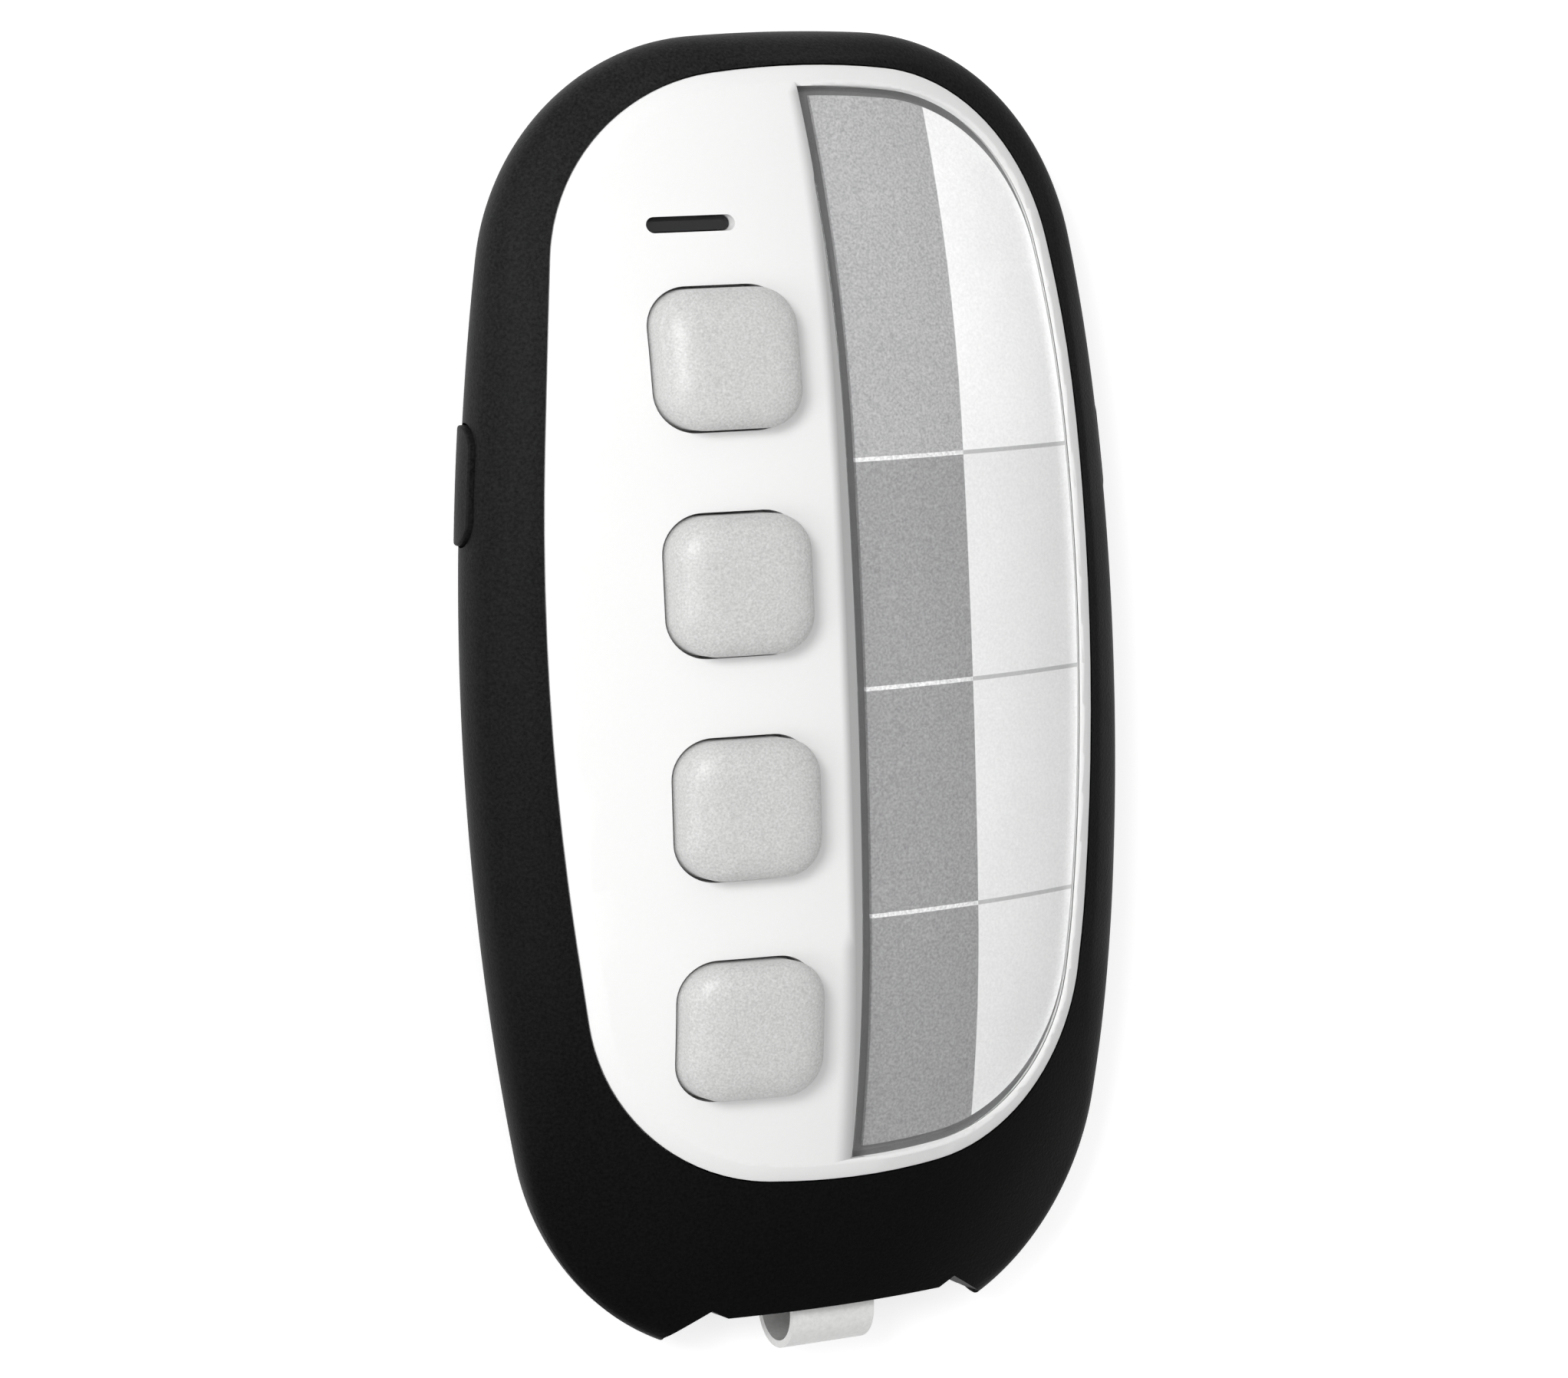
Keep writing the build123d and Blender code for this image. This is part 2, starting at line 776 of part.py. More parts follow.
with BuildPart() as crystal:
    with BuildSketch(Plane.XY.offset(board_top)):
        with Locations((chip_x, crystal_y)):
            SlotOverall(crystal_length, crystal_width)
    extrude(amount=crystal_height)
crystal.part.label = "crystal"
export_step(crystal.part, "parts/crystal.step")

with BuildPart() as antenna:
    left_x = antenna_x - antenna_half_span
    right_x = antenna_x + antenna_half_span
    top = board_top + antenna_height
    with BuildLine():
        FilletPolyline(
            (left_x, antenna_y, board_top),
            (left_x, antenna_y, top),
            (right_x, antenna_y, top),
            (right_x, antenna_y, board_top),
            radius=antenna_bend_radius,
        )
    with BuildSketch(Plane.XY.offset(board_top)):
        with Locations((left_x, antenna_y)):
            Circle(antenna_wire_radius)
    sweep()
antenna.part.label = "antenna"
export_step(antenna.part, "parts/antenna.step")


# Coin cell under the board, its holder and its two contacts
with BuildPart() as coin_cell:
    with BuildSketch(Plane.XY.offset(cell_bottom)):
        with Locations((0, cell_y)):
            Circle(cell_radius)
    extrude(amount=cell_thickness - cell_can_shoulder)
    with BuildSketch(Plane.XY.offset(cell_bottom)):
        with Locations((0, cell_y)):
            Circle(cell_radius - cell_can_step)
    extrude(amount=cell_thickness)
coin_cell.part.label = "coin_cell"
export_step(coin_cell.part, "parts/coin_cell.step")

holder_bottom = cover_floor + 2 * cell_floor_gap
holder_radius = cell_radius + holder_clearance
with BuildPart() as cell_holder:
    with BuildSketch(Plane.XY.offset(holder_bottom)):
        with Locations((0, cell_y)):
            Circle(holder_radius + holder_wall)
            Circle(holder_radius, mode=Mode.SUBTRACT)
            Rectangle(
                2 * holder_radius,
                holder_gap_width,
                align=(Align.MIN, Align.CENTER),
                mode=Mode.SUBTRACT,
            )
    extrude(amount=board_bottom - holder_bottom)
cell_holder.part.label = "cell_holder"
export_step(cell_holder.part, "parts/cell_holder.step")

contact_plane = Plane.XZ.offset(-cell_y - contact_width / 2)
with BuildPart() as contact_minus:
    bend = contact_reach / 4
    with BuildSketch(contact_plane):
        with BuildLine():
            Polyline(
                (contact_reach, board_bottom),
                (bend, board_bottom),
                (-bend, cell_top + contact_thickness),
                (-contact_reach, cell_top + contact_thickness),
                (-contact_reach, cell_top),
                (-bend, cell_top),
                (bend, board_bottom - contact_thickness),
                (contact_reach, board_bottom - contact_thickness),
                close=True,
            )
        make_face()
    extrude(amount=contact_width)
contact_minus.part.label = "contact_minus"
export_step(contact_minus.part, "parts/contact_minus.step")

with BuildPart() as contact_plus:
    side_x = cell_radius
    with BuildSketch(contact_plane):
        with BuildLine():
            Polyline(
                (side_x, cell_bottom + cell_can_shoulder),
                (side_x + contact_thickness, cell_bottom + cell_can_shoulder),
                (side_x + contact_thickness, board_bottom - contact_thickness),
                (side_x + contact_reach, board_bottom - contact_thickness),
                (side_x + contact_reach, board_bottom),
                (side_x, board_bottom),
                close=True,
            )
        make_face()
    extrude(amount=contact_width)
contact_plus.part.label = "contact_plus"
export_step(contact_plus.part, "parts/contact_plus.step")


# Key-ring loop: a strip bent to a U, with toes behind the end wall
toe_y = cavity_foot_y + loop_slot_clearance
with BuildPart() as key_ring_loop:
    with BuildSketch(side_plane(1, -loop_width / 2)):
        radius = loop_depth / 2
        leg_top = toe_y + loop_thickness - loop_axis_y
        with Locations((loop_axis_y, loop_centre_height)):
            Circle(radius)
            Rectangle(leg_top, loop_depth, align=(Align.MIN, Align.CENTER))
            Circle(radius - loop_thickness, mode=Mode.SUBTRACT)
            Rectangle(
                leg_top,
                loop_depth - 2 * loop_thickness,
                align=(Align.MIN, Align.CENTER),
                mode=Mode.SUBTRACT,
            )
        for leg in (1, -1):
            toe_offset = leg_offset - loop_toe_reach / 2
            with Locations((toe_y, loop_centre_height + leg * toe_offset)):
                Rectangle(
                    loop_thickness,
                    loop_thickness + loop_toe_reach,
                    align=(Align.MIN, Align.CENTER),
                )
    extrude(amount=loop_width)
key_ring_loop.part.label = "key_ring_loop"
export_step(key_ring_loop.part, "parts/key_ring_loop.step")
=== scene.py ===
# %% [markdown]
# # An alarm key fob on a pale table
# The fob is a white, pillow-shaped face in a deep black shell, with four grey buttons,
# a dark indicator slot, a clear label window and a small loop for a key ring.
# The solids come ready made in metres. What is left to learn here is how to dress them:
# surfaces worked out as arrays of points, and materials built from nodes.

# %% Load the model
import json
import bmesh
import bpy
import numpy as np
from mathutils import Matrix, Vector


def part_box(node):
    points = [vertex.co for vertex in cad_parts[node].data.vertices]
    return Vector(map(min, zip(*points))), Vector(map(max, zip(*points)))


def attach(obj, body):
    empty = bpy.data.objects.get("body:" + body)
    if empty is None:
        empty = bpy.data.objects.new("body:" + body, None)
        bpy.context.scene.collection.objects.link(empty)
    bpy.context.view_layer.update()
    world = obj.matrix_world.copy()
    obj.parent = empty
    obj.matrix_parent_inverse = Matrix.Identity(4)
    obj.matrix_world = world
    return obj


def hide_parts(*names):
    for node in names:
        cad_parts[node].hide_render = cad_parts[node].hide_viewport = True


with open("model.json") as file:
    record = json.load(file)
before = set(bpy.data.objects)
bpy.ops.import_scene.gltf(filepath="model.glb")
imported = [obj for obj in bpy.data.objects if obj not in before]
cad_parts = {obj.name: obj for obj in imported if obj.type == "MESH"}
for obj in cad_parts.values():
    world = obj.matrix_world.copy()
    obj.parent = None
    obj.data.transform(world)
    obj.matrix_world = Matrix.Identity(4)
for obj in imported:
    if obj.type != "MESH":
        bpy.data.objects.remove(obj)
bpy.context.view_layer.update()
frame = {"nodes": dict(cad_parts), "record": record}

nodes = frame["nodes"]

# %% [markdown]
# ## Camera
# The picture to match was taken from the front, a little to the left, with a long lens.
# Its place and turn were solved from the buttons and the label's lines, so the view can be
# written as three unit vectors (right, up and back) and a point.

# %% Camera
mm = 0.001
photo_width = 2044
focal_pixels = 7000.0
camera_right = (0.88065936, -0.03734742, 0.47227563)
camera_up = (0.07751908, 0.99481175, -0.06588155)
camera_back = (-0.46736483, 0.09462958, 0.87898541)
camera_place = (-168.93 * mm, 29.46 * mm, 322.40 * mm)

camera_data = bpy.data.cameras.new("camera")
camera_data.sensor_width = 36.0
camera_data.lens = focal_pixels / photo_width * camera_data.sensor_width
camera_data.clip_start = 0.01
camera = bpy.data.objects.new("camera", camera_data)
bpy.context.collection.objects.link(camera)
turn = Matrix((camera_right, camera_up, camera_back)).transposed()
camera.matrix_world = Matrix.Translation(camera_place) @ turn.to_4x4()
bpy.context.scene.camera = camera
print("lens", round(camera_data.lens, 1), "mm")

# %% [markdown]
# ## Node groups
# Moulded plastic is never one flat colour: the tool leaves a fine grain, and the pigment
# a faint speckle. Both are used on nearly every piece, so they are a group, built once,
# with its own values in each material.

# %% A helper that builds a node group
def new_group(title, inputs, outputs):
    """Empty node group with the sockets named in two lists of (name, type, value)."""
    tree = bpy.data.node_groups.new(title, "ShaderNodeTree")
    for name, kind, value in inputs:
        socket = tree.interface.new_socket(name, in_out="INPUT", socket_type=kind)
        if value is not None:
            socket.default_value = value
    for name, kind in outputs:
        tree.interface.new_socket(name, in_out="OUTPUT", socket_type=kind)
    return tree, tree.nodes.new("NodeGroupInput"), tree.nodes.new("NodeGroupOutput")


def add_node(tree, kind, links=None, **settings):
    """Adds a node, sets its properties and joins its inputs to sockets or values."""
    node = tree.nodes.new(kind)
    for name, value in settings.items():
        setattr(node, name, value)
    for key, source in (links or {}).items():
        if isinstance(source, bpy.types.NodeSocket):
            tree.links.new(source, node.inputs[key])
        else:
            node.inputs[key].default_value = source
    return node


def math(tree, operation, *values):
    """One Math node; its result socket is returned."""
    node = add_node(tree, "ShaderNodeMath", dict(enumerate(values)), operation=operation)
    return node.outputs[0]


def mixed(tree, share, first, second):
    """Colour between two, by a share from 0 to 1."""
    node = add_node(tree, "ShaderNodeMix", data_type="RGBA")
    colour_a, colour_b = [s for s in node.inputs if s.type == "RGBA"]
    for socket, value in ((node.inputs[0], share), (colour_a, first), (colour_b, second)):
        if isinstance(value, bpy.types.NodeSocket):
            tree.links.new(value, socket)
        else:
            socket.default_value = value
    return [s for s in node.outputs if s.type == "RGBA"][0]


print("helpers: new_group, add_node, math, mixed")

# %% Grain of moulded plastic
look_outputs = [("Colour", "NodeSocketColor"), ("Roughness", "NodeSocketFloat"),
                ("Height", "NodeSocketFloat")]
grain, grain_in, grain_out = new_group(
    "moulded grain",
    [
        ("Vector", "NodeSocketVector", None),
        ("Colour", "NodeSocketColor", (0.5, 0.5, 0.5, 1.0)),
        ("Grains per metre", "NodeSocketFloat", 5000.0),
        ("Speckle", "NodeSocketFloat", 0.05),
        ("Cloud", "NodeSocketFloat", 0.02),
        ("Roughness", "NodeSocketFloat", 0.5),
    ],
    look_outputs,
)
fine = add_node(grain, "ShaderNodeTexNoise", {
    "Vector": grain_in.outputs["Vector"], "Scale": grain_in.outputs["Grains per metre"],
    "Detail": 2.0, "Roughness": 0.6})
slow = add_node(grain, "ShaderNodeTexNoise", {
    "Vector": grain_in.outputs["Vector"], "Scale": 160.0, "Detail": 3.0, "Roughness": 0.5})
fine_swing = math(grain, "SUBTRACT", fine.outputs[0], 0.5)
slow_swing = math(grain, "SUBTRACT", slow.outputs[0], 0.5)
fine_part = math(grain, "MULTIPLY", fine_swing, grain_in.outputs["Speckle"])
slow_part = math(grain, "MULTIPLY", slow_swing, grain_in.outputs["Cloud"])
level = math(grain, "ADD", math(grain, "ADD", fine_part, slow_part), 1.0)
tinted = add_node(grain, "ShaderNodeVectorMath", {0: grain_in.outputs["Colour"], "Scale": level},
                  operation="SCALE")
rough_swing = math(grain, "MULTIPLY", slow_swing, 0.16)
rough = math(grain, "ADD", grain_in.outputs["Roughness"], rough_swing)
grain.links.new(tinted.outputs[0], grain_out.inputs["Colour"])
grain.links.new(rough, grain_out.inputs["Roughness"])
grain.links.new(fine.outputs[0], grain_out.inputs["Height"])
print("group:", grain.name)

# %% Long scratches of drawn and plated metal
drawn, drawn_in, drawn_out = new_group(
    "drawn metal",
    [
        ("Vector", "NodeSocketVector", None),
        ("Colour", "NodeSocketColor", (0.6, 0.6, 0.6, 1.0)),
        ("Roughness", "NodeSocketFloat", 0.3),
    ],
    look_outputs,
)
stretched = add_node(drawn, "ShaderNodeMapping", {
    "Vector": drawn_in.outputs["Vector"], "Scale": (400.0, 9000.0, 9000.0)})
lines = add_node(drawn, "ShaderNodeTexNoise", {
    "Vector": stretched.outputs[0], "Scale": 1.0, "Detail": 2.0})
line_swing = math(drawn, "SUBTRACT", lines.outputs[0], 0.5)
line_level = math(drawn, "ADD", math(drawn, "MULTIPLY", line_swing, 0.25), 1.0)
line_tint = add_node(drawn, "ShaderNodeVectorMath", {
    0: drawn_in.outputs["Colour"], "Scale": line_level}, operation="SCALE")
line_rough = math(drawn, "ADD", drawn_in.outputs["Roughness"],
                  math(drawn, "MULTIPLY", line_swing, 0.3))
drawn.links.new(line_tint.outputs[0], drawn_out.inputs["Colour"])
drawn.links.new(line_rough, drawn_out.inputs["Roughness"])
drawn.links.new(lines.outputs[0], drawn_out.inputs["Height"])
print("group:", drawn.name)

# %% [markdown]
# ## Materials
# Each material is a Principled shader. Its colour, roughness and bump come from one of the
# groups, fed with Object coordinates, so that the grain stays on a piece when it moves.

# %% One material from one group
def new_material(title):
    """Empty material with its Principled shader and the Object coordinates."""
    material = bpy.data.materials.new(title)
    material.use_nodes = True
    tree = material.node_tree
    shader = tree.nodes["Principled BSDF"]
    place = tree.nodes.new("ShaderNodeTexCoord").outputs["Object"]
    return material, tree, shader, place


def bump_from(tree, shader, height, depth_mm, strength=1.0):
    """Joins a height socket to the shader's normal through a Bump node."""
    bump = add_node(tree, "ShaderNodeBump", {
        "Height": height, "Distance": depth_mm * mm, "Strength": strength})
    tree.links.new(bump.outputs[0], shader.inputs["Normal"])


def moulded(title, colour, roughness, grain_mm=0.2, speckle=0.1, cloud=0.04, bump_mm=0.01,
            **sockets):
    """Plastic or rubber with the moulded grain; sockets are plain shader values."""
    material, tree, shader, place = new_material(title)
    look = add_node(tree, "ShaderNodeGroup", node_tree=grain)
    tree.links.new(place, look.inputs["Vector"])
    values = {"Colour": (*colour, 1.0), "Grains per metre": 1.0 / (grain_mm * mm),
              "Speckle": speckle, "Cloud": cloud, "Roughness": roughness}
    for name, value in values.items():
        look.inputs[name].default_value = value
    tree.links.new(look.outputs["Colour"], shader.inputs["Base Color"])
    tree.links.new(look.outputs["Roughness"], shader.inputs["Roughness"])
    bump_from(tree, shader, look.outputs["Height"], bump_mm)
    for name, value in sockets.items():
        shader.inputs[name.replace("_", " ")].default_value = value
    return material


def metal(title, colour, roughness):
    """Plated or bare metal with fine drawn lines."""
    material, tree, shader, place = new_material(title)
    look = add_node(tree, "ShaderNodeGroup", node_tree=drawn)
    tree.links.new(place, look.inputs["Vector"])
    look.inputs["Colour"].default_value = (*colour, 1.0)
    look.inputs["Roughness"].default_value = roughness
    tree.links.new(look.outputs["Colour"], shader.inputs["Base Color"])
    tree.links.new(look.outputs["Roughness"], shader.inputs["Roughness"])
    bump_from(tree, shader, look.outputs["Height"], 0.004)
    shader.inputs["Metallic"].default_value = 1.0
    return material


print("helpers: new_material, bump_from, moulded, metal")

# %% Materials of the outside
def look_and_axes(material):
    """Tree of a material, its group node, and the X and Y of the Object coordinates."""
    tree = material.node_tree
    look = next(node for node in tree.nodes if node.type == "GROUP")
    place = tree.nodes["Texture Coordinate"].outputs["Object"]
    split = add_node(tree, "ShaderNodeSeparateXYZ", {0: place})
    return tree, look, split.outputs["X"], split.outputs["Y"]


black = (0.0098, 0.0098, 0.01)
soft_black = moulded("soft-touch black", black, 0.5, grain_mm=0.2, speckle=2.4, cloud=0.4,
                     bump_mm=0.03, Specular_IOR_Level=0.05)
black_tree, black_look, black_x, black_y = look_and_axes(soft_black)
# Painted light: the coat is paler towards the head and on the left, where the lamps stand, and
# darker towards the foot and on the right.
painted_head_light = add_node(black_tree, "ShaderNodeMapRange", {
    "Value": black_y, "From Min": -45 * mm, "From Max": 39 * mm,
    "To Min": 0.25, "To Max": 1.75})
shade = add_node(black_tree, "ShaderNodeMapRange", {
    "Value": black_x, "From Min": -10 * mm, "From Max": 22 * mm,
    "To Min": 0.9, "To Max": 0.35})
painted_light_share = math(black_tree, "MULTIPLY", painted_head_light.outputs[0], shade.outputs[0])
painted_light_black = add_node(black_tree, "ShaderNodeVectorMath", {0: black, "Scale": painted_light_share},
                   operation="SCALE")
black_tree.links.new(painted_light_black.outputs[0], black_look.inputs["Colour"])
white = (0.82, 0.82, 0.816)
satin_white = moulded("satin white", white, 0.5, grain_mm=0.3, speckle=0.03, cloud=0.02,
                      bump_mm=0.004)
button_grey = moulded("speckled grey", (0.55, 0.55, 0.545), 0.36, grain_mm=0.16, speckle=0.8,
                      cloud=0.06, bump_mm=0.012)
loop_grey = moulded("pale loop plastic", (0.74, 0.74, 0.73), 0.45, grain_mm=0.3, speckle=0.3,
                    bump_mm=0.02)
# Painted shade: a dark tray stands for the shadow in the narrow gap beside the card.
shade_tray_grey = moulded("painted shade tray", (0.13, 0.13, 0.13), 0.5, speckle=0.3)
dark_lens = moulded("smoked lens", (0.008, 0.008, 0.009), 0.12, grain_mm=0.5, speckle=0.1,
                    bump_mm=0.001)
print("outside materials:", [m.name for m in bpy.data.materials])

# %% [markdown]
# ## The clear cover
# The cover over the label is a clear moulding with faint waves. It could be a sheet that
# only mirrors, but a refracting body also gives its rounded edge a bright line. Such a body
# stops the straight rays by which the renderer looks for a lamp, and the card below would
# lie in the dark, so those shadow rays see a Transparent shader instead.

# %% Clear plastic of the label window
clear, clear_tree, clear_shader, clear_place = new_material("clear window")
ripple = add_node(clear_tree, "ShaderNodeTexNoise", {
    "Vector": clear_place, "Scale": 120.0, "Detail": 1.0})
smear = add_node(clear_tree, "ShaderNodeMapRange", {
    "Value": ripple.outputs[0], "To Min": 0.02, "To Max": 0.07})
clear_tree.links.new(smear.outputs[0], clear_shader.inputs["Roughness"])
bump_from(clear_tree, clear_shader, ripple.outputs[0], 0.01, strength=0.3)
clear_shader.inputs["Base Color"].default_value = (0.99, 0.99, 0.99, 1.0)
clear_shader.inputs["Transmission Weight"].default_value = 1.0
clear_shader.inputs["IOR"].default_value = 1.49
shadow_ray = add_node(clear_tree, "ShaderNodeLightPath").outputs["Is Shadow Ray"]
see_through = add_node(clear_tree, "ShaderNodeBsdfTransparent")
lit = add_node(clear_tree, "ShaderNodeMixShader", {0: shadow_ray, 1: clear_shader.outputs[0],
                                                   2: see_through.outputs[0]})
clear_tree.links.new(lit.outputs[0], clear_tree.nodes["Material Output"].inputs["Surface"])
print("the window lets the lamps' light through to the card")

# %% [markdown]
# ## The printed card
# The card behind the window has a grey band, a pale band and three thin rules that divide
# it into one field for each button. The field at the head is lighter: a painted reflection
# of the lamps in the clear cover. The bands are a step in X; the rules are a narrow window
# in Y about each of three heights. A painted texture would do, but a few Math nodes stay
# sharp at any distance.

# %% Printed card
card, card_tree, card_shader, card_place = new_material("printed card")
band_edge = 9.0 * mm
rule_heights = [10.93 * mm, -4.11 * mm, -19.15 * mm]
rule_half_width = 0.14 * mm
grey_ink = (0.30, 0.30, 0.30, 1.0)
grey_ink_with_reflection = (0.395, 0.395, 0.395, 1.0)
pale_ink = (0.84, 0.84, 0.84, 1.0)
pale_ink_with_reflection = (0.92, 0.92, 0.92, 1.0)
rule_on_grey = (0.78, 0.78, 0.78, 1.0)
rule_on_pale = (0.50, 0.50, 0.50, 1.0)
axes = add_node(card_tree, "ShaderNodeSeparateXYZ", {0: card_place})
pale = math(card_tree, "GREATER_THAN", axes.outputs["X"], band_edge)
ruled = 0.0
for height in rule_heights:
    near = math(card_tree, "COMPARE", axes.outputs["Y"], height, rule_half_width)
    ruled = near if ruled == 0.0 else math(card_tree, "MAXIMUM", ruled, near)

# Painted reflection: the field at the head is printed lighter, standing in for the lamps'
# reflection in the clear cover.
painted_reflection_field = math(card_tree, "GREATER_THAN", axes.outputs["Y"], rule_heights[0])
grey_band_with_reflection = mixed(card_tree, painted_reflection_field, grey_ink, grey_ink_with_reflection)
pale_band_with_reflection = mixed(card_tree, painted_reflection_field, pale_ink, pale_ink_with_reflection)
ground = mixed(card_tree, pale, grey_band_with_reflection, pale_band_with_reflection)
rules = mixed(card_tree, pale, rule_on_grey, rule_on_pale)
printed = mixed(card_tree, ruled, ground, rules)
card_grain = add_node(card_tree, "ShaderNodeGroup", node_tree=grain)
card_tree.links.new(card_place, card_grain.inputs["Vector"])
card_tree.links.new(printed, card_grain.inputs["Colour"])
grey_speckle, pale_speckle = 1.3, 0.3
speckle = math(card_tree, "MULTIPLY_ADD", pale, pale_speckle - grey_speckle, grey_speckle)
card_tree.links.new(speckle, card_grain.inputs["Speckle"])
for name, value in {"Grains per metre": 5500.0, "Cloud": 0.08, "Roughness": 0.7}.items():
    card_grain.inputs[name].default_value = value
card_tree.links.new(card_grain.outputs["Colour"], card_shader.inputs["Base Color"])
card_tree.links.new(card_grain.outputs["Roughness"], card_shader.inputs["Roughness"])
bump_from(card_tree, card_shader, card_grain.outputs["Height"], 0.006)
print("card: bands meet at x =", band_edge, "m")

# %% [markdown]
# ## The step beside the window
# A narrow step runs down the white plate beside the window. Its floor is painted greyer
# than the face: painted shade, for the shadow that the step's wall casts on it. A second
# material would need its own faces; a test on x and y is enough, because the step's left
# edge is a plain formula: it drifts with the fourth power of the distance from the window's
# middle.

# %% Painted shade on the step
window_middle, window_bow, window_half = -4.0, 34.0, 35.43
step_left, step_drift = -1.21, 0.35
white_tree, white_look, white_x, white_y = look_and_axes(satin_white)
away = math(white_tree, "MULTIPLY", math(white_tree, "ADD", white_y, -window_middle * mm),
            1 / (window_bow * mm))
bowed = math(white_tree, "POWER", math(white_tree, "ABSOLUTE", away), 4.0)
step_edge = math(white_tree, "MULTIPLY_ADD", bowed, step_drift * mm, step_left * mm)
on_step = math(white_tree, "MULTIPLY", math(white_tree, "GREATER_THAN", white_x, step_edge),
               math(white_tree, "LESS_THAN", white_x, 0.0))
beside_window = math(white_tree, "LESS_THAN", math(white_tree, "ABSOLUTE", white_y),
                     window_half * mm)
painted_shade_share = math(white_tree, "MULTIPLY", on_step, beside_window)
# Painted shade: the step's floor is greyer, for the shadow of its wall.
step_painted_shade = (0.76, 0.76, 0.756, 1.0)
white_with_painted_shade = mixed(white_tree, painted_shade_share, (*white, 1.0), step_painted_shade)
white_tree.links.new(white_with_painted_shade, white_look.inputs["Colour"])
print("left edge of the step at x =", step_left, "mm in the middle")

# %% [markdown]
# ## The inside
# Nothing inside shows while the fob is closed, but the model can be opened. The board, its
# chips, the cell and the springs get plain finishes from the same two groups.

# %% Materials of the inside
green_board = moulded("solder mask", (0.02, 0.13, 0.06), 0.35, grain_mm=1.2, speckle=0.25,
                      cloud=0.1, bump_mm=0.02)
black_epoxy = moulded("moulded epoxy", (0.02, 0.02, 0.022), 0.5, speckle=0.3)
holder_black = moulded("holder plastic", (0.035, 0.035, 0.038), 0.45, speckle=0.2)
plunger_grey = moulded("plunger plastic", (0.2, 0.2, 0.2), 0.4)
lamp_pale = moulded("lamp package", (0.8, 0.78, 0.66), 0.25, speckle=0.04)
seal_grey = moulded("silicone", (0.08, 0.08, 0.085), 0.6, speckle=0.15)
tinned = metal("tinned steel", (0.72, 0.72, 0.72), 0.3)
nickel = metal("nickel plate", (0.78, 0.76, 0.72), 0.25)
zinc = metal("zinc plate", (0.62, 0.63, 0.66), 0.35)
copper = metal("bare copper", (0.85, 0.45, 0.25), 0.3)
print(len(bpy.data.materials), "materials so far")

# %% Give each solid its material
slot_material = {
    "black_case": soft_black, "seal_silicone": seal_grey, "white_plate": satin_white,
    "printed_card": card, "tray_plastic": shade_tray_grey, "clear_window": clear, "dark_lens": dark_lens,
    "led_body": lamp_pale, "board_laminate": green_board, "screw_steel": zinc,
    "chip_body": black_epoxy, "shield_can": tinned, "antenna_wire": copper,
    "cell_can": nickel, "holder_plastic": holder_black, "spring_contact": nickel,
    "loop_plastic": loop_grey, "grey_button": button_grey, "switch_body": black_epoxy,
    "switch_plunger": plunger_grey,
}
slot_of = {row["node"]: row["material_slot"] for row in frame["record"]["subparts"]}
for name, solid in nodes.items():
    solid.data.materials.clear()
    solid.data.materials.append(slot_material[slot_of[name]])
print("dressed", len(nodes), "solids")

# %% [markdown]
# ## The black shell
# The shell is one soft moulding: its flank turns into the slope round the face without an
# edge. It could be a block with bevels, but a surface of two parameters gives that turn
# exactly. One parameter runs round the outline, an oval of tangent arcs; the other runs up
# the flank, over the shoulder to the face and back down inside, so the grid closes on
# itself both ways and needs no caps.

# %% An oval of tangent arcs, in millimetres
class Oval:
    """Oval with mirrored sides and its own head and foot, each (length, end, corner radius).

    A point is named by the direction of its outward normal: it is the centre of that
    direction's arc plus the arc's radius along the normal. An inset shortens the radius.
    """

    def __init__(self, half_width, centre_y, side_radius, head, foot):
        self.centre_y = centre_y
        self.head = self.quarter(half_width, side_radius, *head)
        self.foot = self.quarter(half_width, side_radius, *foot)

    @staticmethod
    def quarter(half_width, side_radius, length, end_radius, corner_radius):
        """Centres and radii of side, corner and end arcs, and the directions between them."""
        side = np.array([half_width - side_radius, 0.0])
        end = np.array([0.0, length - end_radius])
        to_side, to_end = side_radius - corner_radius, end_radius - corner_radius
        span = np.hypot(*(end - side))
        along = (to_side**2 - to_end**2 + span**2) / (2 * span)
        unit = (end - side) / span
        aside = np.array([-unit[1], unit[0]]) * np.sqrt(to_side**2 - along**2)
        corner = side + unit * along + aside
        turns = [float(np.arctan2(*(corner - centre)[::-1])) for centre in (side, end)]
        radii = np.array([side_radius, corner_radius, end_radius])
        return np.array([side, corner, end]), radii, turns

    def point(self, direction, inset):
        """Plan point for a direction of the normal, drawn in by an inset."""
        direction, inset = np.broadcast_arrays(direction, inset)
        folded = np.arctan2(np.abs(np.sin(direction)), np.abs(np.cos(direction)))
        found = []
        for centres, radii, turns in (self.head, self.foot):
            arc = (folded > turns[0]).astype(int) + (folded > turns[1])
            radius = radii[arc] - inset
            found.append((centres[arc, 0] + radius * np.cos(folded),
                          centres[arc, 1] + radius * np.sin(folded)))
        headward = np.sin(direction) >= 0
        x = np.where(headward, found[0][0], found[1][0])
        y = np.where(headward, found[0][1], -found[1][1])
        return np.where(np.cos(direction) >= 0, x, -x), self.centre_y + y

    def outside(self, x, y):
        """Signed distance of a plan point from the oval, above zero outside it."""
        across, along = np.abs(x), np.abs(y - self.centre_y)
        found = []
        for centres, radii, turns in (self.head, self.foot):
            angle = np.arctan2(along - centres[1, 1], across - centres[1, 0])
            arc = (angle > turns[0]).astype(int) + (angle > turns[1])
            found.append(np.hypot(across - centres[arc, 0], along - centres[arc, 1]) - radii[arc])
        return np.where(y >= self.centre_y, *found)


